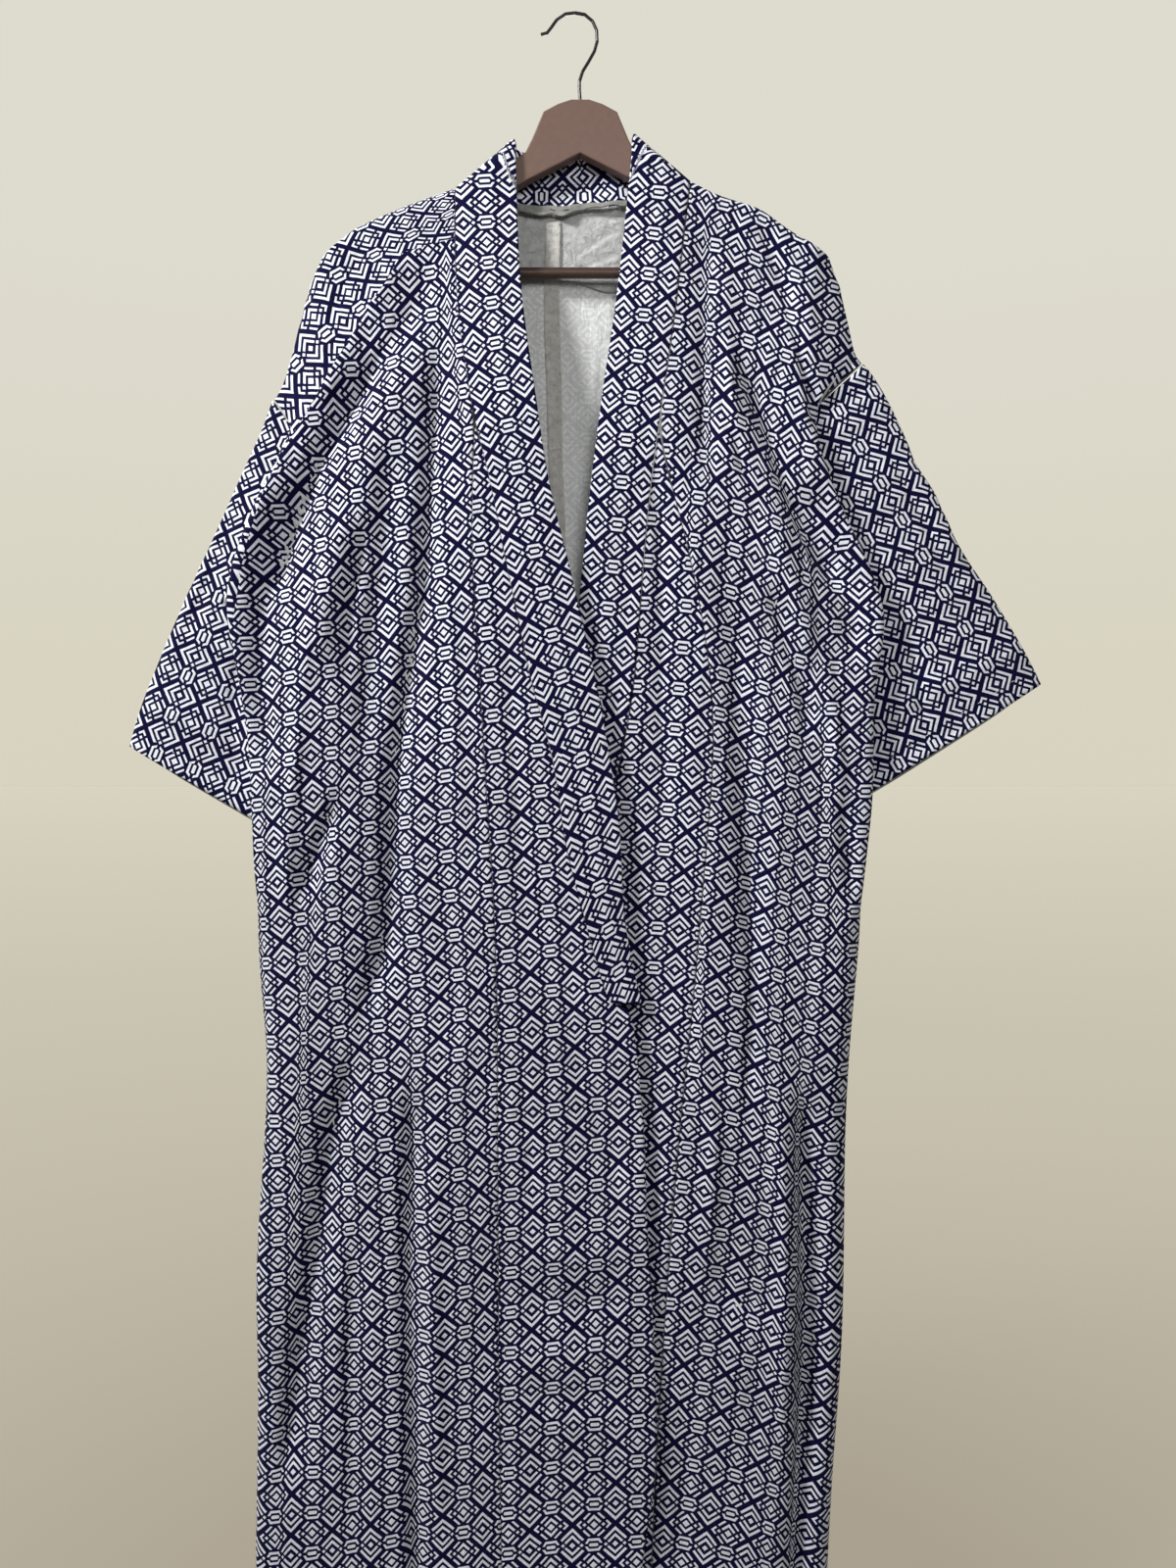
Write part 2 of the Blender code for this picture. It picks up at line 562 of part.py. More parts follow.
def finish_material(name):
    """Principled material from the finishes table."""
    material = bpy.data.materials.get(name)
    if material is None:
        colour, roughness = FINISHES[name]
        material = bpy.data.materials.new(name)
        material.use_nodes = True
        shader = material.node_tree.nodes["Principled BSDF"]
        shader.inputs["Base Color"].default_value = (*colour, 1.0)
        shader.inputs["Roughness"].default_value = roughness
    return material


def add_object(name, data, finish, collection):
    """Links a new object with its material."""
    data.materials.append(finish_material(finish))
    made = bpy.data.objects.new(name, data)
    collection.objects.link(made)
    return made


def thicken(made, thickness):
    """Gives an open surface its wall, half on each side."""
    wall = made.modifiers.new("wall", "SOLIDIFY")
    wall.thickness = thickness * MM
    wall.offset = 0.0


def add_cloth(name, grids, finish, collection, thickness=CLOTH, cross_split=False):
    """One cloth piece from grids of points whose shared border points are welded.

    cross_split turns the diagonal on which each four-sided face folds.
    """
    mesh = bpy.data.meshes.new(name)
    shape = bmesh.new()
    for rows in grids:
        verts = [[shape.verts.new([value * MM for value in point]) for point in row] for row in rows]
        for upper, lower in zip(verts, verts[1:]):
            for a, b, c, d in zip(upper, upper[1:], lower[1:], lower):
                shape.faces.new((b, c, d, a) if cross_split else (a, b, c, d))
    bmesh.ops.remove_doubles(shape, verts=shape.verts, dist=0.00001)
    bmesh.ops.recalc_face_normals(shape, faces=shape.faces)
    for face in shape.faces:
        face.smooth = True
    shape.to_mesh(mesh)
    shape.free()
    made = add_object(name, mesh, finish, collection)
    thicken(made, thickness)
    return made


def add_hanger(collection):
    """Flat shaped hanger, its trouser bar between two lugs, and the wire hook."""
    curve = bpy.data.curves.new("hanger_body", "CURVE")
    curve.dimensions = "2D"
    curve.fill_mode = "BOTH"
    curve.extrude = (HANGER_THICK / 2 - HANGER_ROUND) * MM
    curve.bevel_depth = HANGER_ROUND * MM
    curve.bevel_resolution = 1
    curve.offset = -HANGER_ROUND * MM
    right_half = list(HANGER_OUTLINE)
    left_half = [(-offset, z) for offset, z in reversed(right_half)]
    outline = right_half + [(0, HANGER_ARCH_Z)] + left_half
    line = curve.splines.new("POLY")
    line.points.add(len(outline) - 1)
    for point, (offset, z) in zip(line.points, outline):
        point.co = (offset * MM, z * MM, 0.0, 1.0)
    line.use_cyclic_u = True
    body = add_object("hanger_body", curve, "brown_hanger", collection)
    body.rotation_euler = (math.pi / 2, 0.0, 0.0)
    body.location = (HANGER_X * MM, 0.0, 0.0)

    mesh = bpy.data.meshes.new("trouser_bar")
    shape = bmesh.new()
    bmesh.ops.create_cone(
        shape, cap_ends=True, segments=BAR_SIDES, radius1=BAR_RADIUS * MM, radius2=BAR_RADIUS * MM,
        depth=2 * BAR_HALF * MM,
    )
    shape.to_mesh(mesh)
    shape.free()
    bar = add_object("trouser_bar", mesh, "brown_hanger", collection)
    bar.rotation_euler = (0.0, math.pi / 2, 0.0)
    bar.location = (HANGER_X * MM, 0.0, BAR_Z * MM)

    wire = bpy.data.curves.new("hook", "CURVE")
    wire.dimensions = "3D"
    wire.bevel_depth = WIRE_RADIUS * MM
    wire.bevel_resolution = 2
    wire.use_fill_caps = True
    path = wire.splines.new("POLY")
    path.points.add(len(HOOK_PATH) - 1)
    for point, (x, z) in zip(path.points, HOOK_PATH):
        point.co = (x * MM, 0.0, z * MM, 1.0)
    add_object("hook", wire, "black_wire", collection)


def main():
    """Clears the scene and builds every piece."""
    for old in list(bpy.data.objects):
        bpy.data.objects.remove(old)
    collection = bpy.data.collections.new("kimono_robe")
    bpy.context.scene.collection.children.link(collection)
    count = len(ROW_LEVELS)
    for side, word in ((LEFT, "left"), (RIGHT, "right")):
        front = [body_row(side, FRONT, row) for row in range(count)]
        back = [body_row(side, BACK, row) for row in range(count)]
        add_cloth(f"body_{word}", (front, back), "navy_print_cotton", collection)
        add_cloth(f"overlap_{word}", (overlap_rows(side),), "navy_print_cotton", collection)
        grids = sleeve_grids(side)
        add_cloth(f"sleeve_{word}", grids, "navy_print_cotton", collection, cross_split=True)
    add_cloth("collar", (collar_rows(),), "navy_print_cotton", collection, COLLAR_THICK)
    add_cloth("shoulder_lining", (lining_rows(),), "white_cotton", collection)
    add_hanger(collection)


main()
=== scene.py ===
"""Visual model of a cotton kimono robe on a clothes hanger, dressed piece by piece.

X runs to the viewer's right, +Y away from the viewer and +Z up, in metres. Tables are in
millimetres. The origin is the inside top of the hanger's hook.
"""

import logging
import math
from dataclasses import dataclass
from enum import Enum

import bmesh
import bpy
import numpy as np
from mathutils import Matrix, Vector
from mathutils.bvhtree import BVHTree


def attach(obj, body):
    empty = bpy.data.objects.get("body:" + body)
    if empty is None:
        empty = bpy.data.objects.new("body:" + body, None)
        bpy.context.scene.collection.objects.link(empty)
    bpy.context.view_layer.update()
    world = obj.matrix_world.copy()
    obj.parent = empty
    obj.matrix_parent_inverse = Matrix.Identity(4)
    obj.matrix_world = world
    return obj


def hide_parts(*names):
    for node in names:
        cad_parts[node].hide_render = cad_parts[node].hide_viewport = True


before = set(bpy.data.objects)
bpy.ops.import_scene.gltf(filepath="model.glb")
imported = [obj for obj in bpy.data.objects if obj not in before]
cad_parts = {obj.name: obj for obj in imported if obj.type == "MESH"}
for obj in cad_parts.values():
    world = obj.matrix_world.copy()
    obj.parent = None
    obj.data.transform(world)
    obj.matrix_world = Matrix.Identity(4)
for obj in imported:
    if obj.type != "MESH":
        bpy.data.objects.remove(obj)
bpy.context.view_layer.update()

MM = 0.001
Point = tuple[float, float]
Run = tuple[Point, ...]
log = logging.getLogger("kimono_robe")

# Side of the print's square repeat
CELL = 37.4

# Walls of the CAD solids, by which the rims of a shell are told from its faces
WALL = 1.5
COLLAR_WALL = 3.0

# Where cloth hangs free, its folds run deeper by this share, from and to these distances
# from the middle and below the hook
FREE_DEPTH = 1.9
FREE_SIDE = (95.0, 135.0)
FREE_DROP = (290.0, 360.0)

# Depth over which the layers of one front take part in its folds, from and to
LAYER_DEPTH = (1.0, 15.0)

# Range that the height of two crossed threads keeps to, and a thread's width to a slub's length
WEAVE_LOW = 0.7
WEAVE_HIGH = 1.3
SLUB_LENGTH = 0.12

# Reach of the sharp rims' angle and of a rim's side, against the wall's thickness
RIM_ANGLE = 0.9
RIM_REACH = 1.25


class Facing(Enum):
    """Which layers of the hanging robe a crease or a lay of the print belongs to."""

    FRONT = -1
    BACK = 1


def linear_colour(code: str) -> tuple[float, float, float, float]:
    """Turns an sRGB hex colour into linear RGBA.

    Args:
        code: Six hex digits after a hash sign.

    Returns:
        Linear red, green, blue and an alpha of 1.
    """
    channels = [int(code[i:i + 2], 16) / 255 for i in (1, 3, 5)]
    red, green, blue = (c / 12.92 if c <= 0.04045 else ((c + 0.055) / 1.055) ** 2.4 for c in channels)
    return red, green, blue, 1.0


def add_node(
    tree: bpy.types.NodeTree, kind: str, inputs: dict | None = None, **settings: object
) -> bpy.types.Node:
    """Adds a shader node with its settings, values and links.

    Args:
        tree: Node tree that takes the node.
        kind: Node type without its ShaderNode prefix.
        inputs: Socket name or index to a constant or to the socket that feeds it.
        settings: Node properties.

    Returns:
        The new node.
    """
    node = tree.nodes.new(f"ShaderNode{kind}")
    for key, value in settings.items():
        setattr(node, key, value)
    for key, value in (inputs or {}).items():
        if isinstance(value, bpy.types.NodeSocket):
            tree.links.new(value, node.inputs[key])
        else:
            node.inputs[key].default_value = value
    return node


def blank_material(name: str) -> tuple[bpy.types.Material, bpy.types.NodeTree, bpy.types.Node]:
    """Starts a node material.

    Args:
        name: Name of the material.

    Returns:
        The material, its node tree and its Principled shader.
    """
    made = bpy.data.materials.new(name)
    made.use_nodes = True
    return made, made.node_tree, made.node_tree.nodes["Principled BSDF"]


def add_threads(
    tree: bpy.types.NodeTree, cloth: bpy.types.NodeSocket, stretches: tuple, roughness: float
) -> bpy.types.NodeSocket:
    """Adds slubby threads that run two ways.

    Args:
        tree: Node tree that takes them.
        cloth: Coordinates of the cloth.
        stretches: Scale of the threads along each axis, once for each way.
        roughness: How much finer uneven places there are in a thread.

    Returns:
        A socket that swings round 1 with the height of the weave.
    """
    threads = []
    for stretch in stretches:
        laid = add_node(tree, "VectorMath", {0: cloth, 1: stretch}, operation="MULTIPLY")
        slub = add_node(tree, "TexNoise", {"Vector": laid.outputs[0], "Scale": 1.0, "Detail": 2.0,
                                           "Roughness": roughness})
        threads.append(slub.outputs["Fac"])
    return add_node(tree, "Math", dict(enumerate(threads)), operation="ADD").outputs[0]


def read_places(mesh: bpy.types.Mesh) -> np.ndarray:
    """Reads where the vertices of a mesh are.

    Args:
        mesh: The mesh.

    Returns:
        One row of X, Y and Z in mm for each vertex.
    """
    co = np.empty(len(mesh.vertices) * 3)
    mesh.vertices.foreach_get("co", co)
    return co.reshape(-1, 3) / MM


def write_places(mesh: bpy.types.Mesh, co: np.ndarray) -> None:
    """Moves the vertices of a mesh.

    Args:
        mesh: The mesh.
        co: One row of X, Y and Z in mm for each vertex.
    """
    mesh.vertices.foreach_set("co", (co * MM).ravel())
    mesh.update()


def corner_vertices(mesh: bpy.types.Mesh) -> np.ndarray:
    """Finds the vertex of each face corner.

    Args:
        mesh: The mesh.

    Returns:
        One vertex index for each corner.
    """
    index = np.empty(len(mesh.loops), dtype=np.int32)
    mesh.loops.foreach_get("vertex_index", index)
    return index


def add_cloth_map(mesh: bpy.types.Mesh, name: str, places: np.ndarray) -> None:
    """Stores where each face corner lies on the flat cloth.

    Args:
        mesh: The mesh.
        name: Name of the UV map.
        places: One row of weft and warp coordinate for each corner.
    """
    layer = mesh.uv_layers.new(name=name)
    layer.uv.foreach_set("vector", places.astype(np.float32).ravel())


def apply_modifiers(made: bpy.types.Object) -> bpy.types.Mesh:
    """Applies an object's modifiers.

    Args:
        made: The object.

    Returns:
        Its new mesh, shaded smooth.
    """
    graph = bpy.context.evaluated_depsgraph_get()
    mesh = bpy.data.meshes.new_from_object(made.evaluated_get(graph))
    made.modifiers.clear()
    made.data = mesh
    for polygon in mesh.polygons:
        polygon.use_smooth = True
    return mesh


def smooth_step(low: float, high: float, value: np.ndarray) -> np.ndarray:
    """Even S-shaped step.

    Args:
        low: Where it leaves 0.
        high: Where it reaches 1.
        value: Places to find it at.

    Returns:
        The step at each place.
    """
    t = np.clip((value - low) / (high - low), 0.0, 1.0)
    return t * t * (3 - 2 * t)


def freedom(x: np.ndarray, z: np.ndarray) -> np.ndarray:
    """How much deeper folds run below the hanger and beside the lapped middle.

    Args:
        x: Places across, mm.
        z: Levels, mm.

    Returns:
        Factor of a crease's height at each place.
    """
    return 1.0 + FREE_DEPTH * smooth_step(*FREE_SIDE, np.abs(x)) * smooth_step(*FREE_DROP, -z)


@dataclass(frozen=True)
class Crease:
    """Soft fold: a ridge where rise is positive, a trough where it is negative.

    It fades over a share of its run at each end, and its second flank, to the left of the
    run's direction, is wider by the factor lopsided.
    """

    width: float
    rise: float
    run: Run
    fade: float = 0.3
    lopsided: float = 1.0

    def height(self, x: np.ndarray, z: np.ndarray) -> np.ndarray:
        """Rise of the cloth in mm at each place.

        Args:
            x: Places across, mm.
            z: Levels, mm.

        Returns:
            Height towards the viewer, mm.
        """
        nearest = np.full(x.shape, 1e9)
        flank = np.zeros(x.shape)
        place = np.zeros(x.shape)
        total = sum(math.dist(a, b) for a, b in zip(self.run, self.run[1:]))
        passed = 0.0
        for (x0, z0), (x1, z1) in zip(self.run, self.run[1:]):
            dx, dz = x1 - x0, z1 - z0
            length = math.hypot(dx, dz)
            t = np.clip(((x - x0) * dx + (z - z0) * dz) / length ** 2, 0.0, 1.0)
            away = np.hypot(x - x0 - t * dx, z - z0 - t * dz)
            closer = away < nearest
            nearest = np.where(closer, away, nearest)
            flank = np.where(closer, (z - z0) * dx - (x - x0) * dz, flank)
            place = np.where(closer, (passed + t * length) / total, place)
            passed += length
        ends = smooth_step(0.0, self.fade, place) * smooth_step(0.0, self.fade, 1.0 - place)
        width = np.where(flank > 0, self.width * self.lopsided, self.width)
        return self.rise * ends * np.exp(-((nearest / width) ** 2))


@dataclass(frozen=True)
class Tuck:
    """Cloth taken up inside a fold: the print is squeezed across the run by take mm."""

    # Share of the run's height over which a tuck opens at each end
    FADE = 0.15

    width: float
    take: float
    run: Run

    def shift(self, x: np.ndarray, z: np.ndarray) -> np.ndarray:
        """Extra cloth passed at each place, 0 left of the fold and take right of it.

        Args:
            x: Places across, mm.
            z: Levels, mm.

        Returns:
            The extra cloth, mm.
        """
        levels = [p[1] for p in reversed(self.run)]
        places = [p[0] for p in reversed(self.run)]
        middle = np.interp(z, levels, places)
        length = levels[-1] - levels[0]
        fade = self.FADE * length
        ends = smooth_step(levels[0] - fade, levels[0] + fade, z)
        ends = ends * (1 - smooth_step(levels[-1] - fade, levels[-1] + fade, z))
        return self.take * ends * smooth_step(-self.width / 2, self.width / 2, x - middle)


def passed(rates: Run, start: float, end: np.ndarray) -> np.ndarray:
    """Sum of a changing rate between two places.

    Args:
        rates: Places in mm, rising, and the rate at each.
        start: Where the sum is 0, mm.
        end: Where it is wanted, mm.

    Returns:
        The sum at each end, mm.
    """
    ticks = np.arange(-1560.0, 461.0, 5.0)
    total = np.cumsum(np.interp(ticks, [r[0] for r in rates], [r[1] for r in rates])) * 5.0
    return np.interp(end, ticks, total) - np.interp(start, ticks, total)


@dataclass(frozen=True)
class Lay:
    """How the woven print lies on a panel.

    Attributes:
        centre: Middle of one lozenge, mm.
        slopes: Places across and the weft's rise there for each mm to the right.
        leans: Levels and the sideways run of a column there for each mm upwards.
        crowd: Levels and the cloth that each mm of height takes there.
        tucks: Folds that take up cloth.
    """

    centre: Point
    slopes: Run = ((0.0, 0.0),)
    leans: Run = ((0.0, 0.0),)
    crowd: Run = ((0.0, 1.0),)
    tucks: tuple[Tuck, ...] = ()

    def place(self, x: np.ndarray, z: np.ndarray) -> np.ndarray:
        """Cloth coordinates in repeats of the print.

        Args:
            x: Places across, mm.
            z: Levels, mm.

        Returns:
            One row of weft and warp coordinate for each place.
        """
        weft = x - self.centre[0] - passed(self.leans, self.centre[1], z)
        for tuck in self.tucks:
            weft = weft + tuck.shift(x, z)
        warp = passed(self.crowd, self.centre[1], z) - passed(self.slopes, self.centre[0], x)
        return np.stack((weft, warp), axis=1) / CELL


@dataclass(frozen=True)
class TurnedLay:
    """A straight lay turned as a whole: the weft points along the angle, in degrees."""

    centre: Point
    angle: float

    def place(self, x: np.ndarray, z: np.ndarray) -> np.ndarray:
        """Cloth coordinates in repeats of the print.

        Args:
            x: Places across, mm.
            z: Levels, mm.

        Returns:
            One row of weft and warp coordinate for each place.
        """
        cos, sin = math.cos(math.radians(self.angle)), math.sin(math.radians(self.angle))
        dx, dz = x - self.centre[0], z - self.centre[1]
        return np.stack((dx * cos + dz * sin, dz * cos - dx * sin), axis=1) / CELL


@dataclass(frozen=True)
class FanLay:
    """A lay that fans out where cloth turns over the shoulder: the weft points at one place.

    Attributes:
        focus: Place that the weft points at, mm.
        centre: Middle of one lozenge, mm.
    """

    focus: Point
    centre: Point

    def place(self, x: np.ndarray, z: np.ndarray) -> np.ndarray:
        """Cloth coordinates in repeats of the print.

        Args:
            x: Places across, mm.
            z: Levels, mm.

        Returns:
            One row of weft and warp coordinate for each place.
        """
        radius = math.dist(self.focus, self.centre)
        start = math.atan2(self.focus[1] - self.centre[1], self.focus[0] - self.centre[0])
        dx, dz = self.focus[0] - x, self.focus[1] - z
        weft = radius - np.hypot(dx, dz)
        warp = (start - np.arctan2(dz, dx)) * radius
        return np.stack((weft, warp), axis=1) / CELL


@dataclass(frozen=True)
class PrintChart:
    """The geometric repeat as a dyer would chart it on one square cell.

    A band is white: its inner and outer distance from the middle of its diamond, and the
    turn from which and to which it runs round, -0.5 at the sides and 0.5 above and below.
    The lozenge sits on the cell's corners, the chevron diamond between two of them along the
    weft and the framed diamond between two along the warp. The lozenge is a bar between two
    halves of a ring that leave its tips open, and small spots stand beside its tips.
    """

    chevron_bands: tuple[tuple[float, float, float, float], ...] = (
        (-1.0, 0.073, -1.0, 1.0), (0.178, 0.258, -0.11, 1.0), (0.340, 0.427, -0.13, 1.0),
    )
    framed_bands: tuple[tuple[float, float, float, float], ...] = (
        (-1.0, 0.086, -1.0, 1.0), (0.162, 0.245, -0.09, 1.0),
        (0.345, 0.413, -1.0, -0.20), (0.345, 0.413, -0.10, 0.20),
    )
    spot_place: float = 0.218
    spot_size: float = 0.046
    lozenge: tuple[float, float, float] = (0.156, 0.62, 0.228)
    lozenge_ring: float = 0.060
    lozenge_bar: float = 0.116
    lozenge_gap: float = 0.038
    lozenge_margin: float = 0.055

    def steps(self) -> list[tuple]:
        """Arithmetic that tells white from ink, from the weft x and the warp y.

        Returns:
            Steps in order: the name of the result, the operation, then its values, each a
            number or the name of an earlier result.
        """
        steps = []
        for axis in ("x", "y"):
            steps += [
                ("moved", "ADD", axis, 0.5),
                ("cell", "FRACT", "moved"),
                ("signed", "SUBTRACT", "cell", 0.5),
                (f"{axis}_away", "ABSOLUTE", "signed"),
            ]
        steps += [
            ("chevron", "LESS_THAN", "y_away", "x_away"),
            ("framed", "SUBTRACT", 1.0, "chevron"),
            ("x_turned", "MULTIPLY_ADD", "x_away", -2.0, 0.5),
            ("side_way", "MULTIPLY_ADD", "chevron", "x_turned", "x_away"),
            ("y_turned", "MULTIPLY_ADD", "y_away", 2.0, -0.5),
            ("y_rest", "SUBTRACT", 0.5, "y_away"),
            ("upright", "MULTIPLY_ADD", "chevron", "y_turned", "y_rest"),
            ("reach", "ADD", "side_way", "upright"),
            ("turn", "SUBTRACT", "upright", "side_way"),
        ]
        total = 0.0
        for region, bands in (("chevron", self.chevron_bands), ("framed", self.framed_bands)):
            shown = 0.0
            for inner, outer, low, high in bands:
                steps += [
                    ("near", "COMPARE", "reach", (inner + outer) / 2, (outer - inner) / 2),
                    ("within", "COMPARE", "turn", (low + high) / 2, (high - low) / 2),
                    ("both", "MULTIPLY", "near", "within"),
                    ("shown", "MAXIMUM", "both", shown),
                ]
                shown = "shown"
            steps.append(("total", "MULTIPLY_ADD", region, "shown", total))
            total = "total"
        high, cut, wide = self.lozenge
        return steps + [
            ("top", "SUBTRACT", "y_away", high),
            ("slant", "MULTIPLY_ADD", "y_away", cut, "x_away"),
            ("flank", "SUBTRACT", "slant", wide),
            ("edge", "MAXIMUM", "top", "flank"),
            ("clear", "GREATER_THAN", "edge", self.lozenge_margin),
            ("total", "MULTIPLY", "total", "clear"),
            ("spot_side", "SUBTRACT", "side_way", self.spot_place),
            ("spot_away", "ABSOLUTE", "spot_side"),
            ("spot_reach", "ADD", "spot_away", "upright"),
            ("spot", "LESS_THAN", "spot_reach", self.spot_size),
            ("total", "MAXIMUM", "total", "spot"),
            ("rim", "COMPARE", "edge", -self.lozenge_ring / 2, self.lozenge_ring / 2),
            ("apart", "GREATER_THAN", "y_away", self.lozenge_gap),
            ("ring", "MULTIPLY", "rim", "apart"),
            ("total", "MAXIMUM", "total", "ring"),
            ("bar", "LESS_THAN", "edge", -self.lozenge_bar),
            ("white", "MAXIMUM", "total", "bar"),
        ]

    def white(self, tree: bpy.types.NodeTree, cloth: bpy.types.NodeSocket) -> bpy.types.NodeSocket:
        """Adds the nodes that tell white from ink.

        Args:
            tree: Node tree that takes them.
            cloth: Cloth coordinates in repeats.

        Returns:
            A socket that is 1 on white and 0 on ink.
        """
        split = add_node(tree, "SeparateXYZ", {0: cloth})
        made = {"x": split.outputs[0], "y": split.outputs[1]}
        for name, operation, *values in self.steps():
            inputs = {i: made[v] if isinstance(v, str) else v for i, v in enumerate(values)}
            made[name] = add_node(tree, "Math", inputs, operation=operation).outputs[0]
        return made["white"]


@dataclass(frozen=True)
class PrintedCotton:
    """Plain-weave cotton, stencil-dyed navy on white, softened by washing."""

    name: str = "printed_plain_weave_cotton"
    ink: str = "#080733"
    ground: str = "#f0f1f8"
    # A washed cotton scatters almost all light, with a faint nap at grazing angles
    roughness: float = 0.88
    nap: float = 0.015
    # Real threads are 0.4 mm apart. Drawn at 1.7 mm, the finest that a picture resolves
    thread: float = 1.7
    weave_relief: float = 0.10
    slub_shade: float = 0.16
    print_strength: float = 1.0
    # Small dents left by wear and packing: how far apart and how deep, mm
    dent_size: float = 13.0
    dent_depth: float = 1.3
    # Slack between the folds: how wide and how deep its long soft waves are, mm
    slack_size: float = 46.0
    slack_depth: float = 8.0
    # How far stencilled lines waver, in repeats, and how much dye washing takes or leaves
    waver: float = 0.035
    washed: Point = (0.92, 1.06)

    def material(self) -> bpy.types.Material:
        """Builds the node material.

        Returns:
            The material, with the print, thread and slub nodes.
        """
        made, tree, shader = blank_material(self.name)
        inner = add_node(tree, "UVMap", uv_map="weave")
        cap = add_node(tree, "UVMap", uv_map="weave_cap")
        region = add_node(tree, "Attribute", attribute_name="cap")
        over = add_node(tree, "Math", {0: region.outputs["Fac"], 1: 0.0}, operation="GREATER_THAN")
        cloth = add_node(tree, "Mix", {0: over.outputs[0], 4: inner.outputs[0], 5: cap.outputs[0]},
                         data_type="VECTOR")
        # The stencil never lands quite square to the threads, so lines waver by half a millimetre
        drift = add_node(tree, "TexNoise", {"Vector": cloth.outputs[1], "Scale": 2.3, "Detail": 2.0})
        centred = add_node(tree, "VectorMath", {0: drift.outputs["Color"], 1: (0.5, 0.5, 0.5)},
                           operation="SUBTRACT")
        moved = add_node(tree, "VectorMath", {0: centred.outputs[0], 1: (self.waver, self.waver, 0.0),
                                              2: cloth.outputs[1]}, operation="MULTIPLY_ADD")
        white = PrintChart().white(tree, moved.outputs[0])
        shown = add_node(tree, "Math", {0: white, 1: -1.0, 2: 1.0}, operation="MULTIPLY_ADD")
        inked = add_node(tree, "Math", {0: shown.outputs[0], 1: self.print_strength},
                         operation="MULTIPLY")
        colour = add_node(tree, "Mix", {0: inked.outputs[0], 6: linear_colour(self.ground),
                                        7: linear_colour(self.ink)}, data_type="RGBA")
        pitch = CELL / self.thread
        weave = add_threads(
            tree, cloth.outputs[1],
            ((pitch, pitch * SLUB_LENGTH, 1.0), (pitch * SLUB_LENGTH, pitch, 1.0)), 0.6,
        )
        shade = add_node(tree, "MapRange", {0: weave, 1: WEAVE_LOW, 2: WEAVE_HIGH,
                                            3: 1.0 - self.slub_shade, 4: 1.0 + self.slub_shade * 0.5})
        # Washing fades the dye in broad soft patches
        fade = add_node(tree, "TexNoise", {"Vector": cloth.outputs[1], "Scale": 0.35, "Detail": 3.0})
        worn = add_node(tree, "MapRange", {0: fade.outputs["Fac"], 1: 0.3, 2: 0.7,
                                           3: self.washed[0], 4: self.washed[1]})
        tone = add_node(tree, "Math", {0: shade.outputs[0], 1: worn.outputs[0]}, operation="MULTIPLY")
        final = add_node(tree, "VectorMath", {0: colour.outputs[2], 3: tone.outputs[0]},
                         operation="SCALE")
        # Dents are longer along the warp, which carries the weight
        along = add_node(tree, "VectorMath", {0: cloth.outputs[1], 1: (1.0, 0.45, 1.0)},
                         operation="MULTIPLY")
        dents = add_node(tree, "TexNoise", {"Vector": along.outputs[0], "Scale": CELL / self.dent_size,
                                            "Detail": 3.0, "Roughness": 0.45, "Distortion": 0.6})
        hung = add_node(tree, "VectorMath", {0: cloth.outputs[1], 1: (1.0, 0.1, 1.0)},
                        operation="MULTIPLY")
        slack = add_node(tree, "TexNoise", {"Vector": hung.outputs[0], "Scale": CELL / self.slack_size,
                                            "Detail": 2.0, "Roughness": 0.5, "Distortion": 0.5})
        hanging = add_node(tree, "Bump", {"Height": slack.outputs["Fac"], "Strength": 1.0,
                                          "Distance": self.slack_depth * MM})
        dented = add_node(tree, "Bump", {"Height": dents.outputs["Fac"], "Strength": 1.0,
                                         "Distance": self.dent_depth * MM,
                                         "Normal": hanging.outputs[0]})
        bump = add_node(tree, "Bump", {"Height": weave, "Distance": self.weave_relief * MM * 10,
                                       "Strength": 0.35, "Normal": dented.outputs[0]})
        tree.links.new(final.outputs[0], shader.inputs["Base Color"])
        tree.links.new(bump.outputs[0], shader.inputs["Normal"])
        rough = add_node(tree, "MapRange", {0: weave, 1: WEAVE_LOW, 2: WEAVE_HIGH,
                                            3: self.roughness - 0.06, 4: self.roughness + 0.05})
        tree.links.new(rough.outputs[0], shader.inputs["Roughness"])
        shader.inputs["Sheen Weight"].default_value = self.nap
        shader.inputs["Sheen Roughness"].default_value = 0.5
        shader.inputs["IOR"].default_value = 1.45
        shader.inputs["Specular IOR Level"].default_value = 0.12
        return made


@dataclass(frozen=True)
class PlainPlastic:
    """Injection-moulded polypropylene with a satin, faintly mottled skin."""

    name: str = "moulded_brown_polypropylene"
    colour: str = "#765b4f"
    deep: str = "#684e43"
    roughness: float = 0.42
    mottle: float = 0.006
    relief: float = 0.00006

    def material(self) -> bpy.types.Material:
        """Builds the node material.

        Returns:
            The material, with its mottled colour, roughness and skin.
        """
        made, tree, shader = blank_material(self.name)
        place = add_node(tree, "TexCoord")
        cloud = add_node(tree, "TexNoise", {"Vector": place.outputs["Object"], "Scale": 1 / self.mottle,
                                            "Detail": 4.0})
        colour = add_node(tree, "Mix", {0: cloud.outputs["Fac"], 6: linear_colour(self.deep),
                                        7: linear_colour(self.colour)}, data_type="RGBA")
        rough = add_node(tree, "MapRange", {0: cloud.outputs["Fac"], 3: self.roughness - 0.06,
                                            4: self.roughness + 0.10})
        bump = add_node(tree, "Bump", {"Height": cloud.outputs["Fac"], "Distance": self.relief,
                                       "Strength": 0.5})
        tree.links.new(colour.outputs[2], shader.inputs["Base Color"])
        tree.links.new(rough.outputs[0], shader.inputs["Roughness"])
        tree.links.new(bump.outputs[0], shader.inputs["Normal"])
        shader.inputs["IOR"].default_value = 1.49
        return made


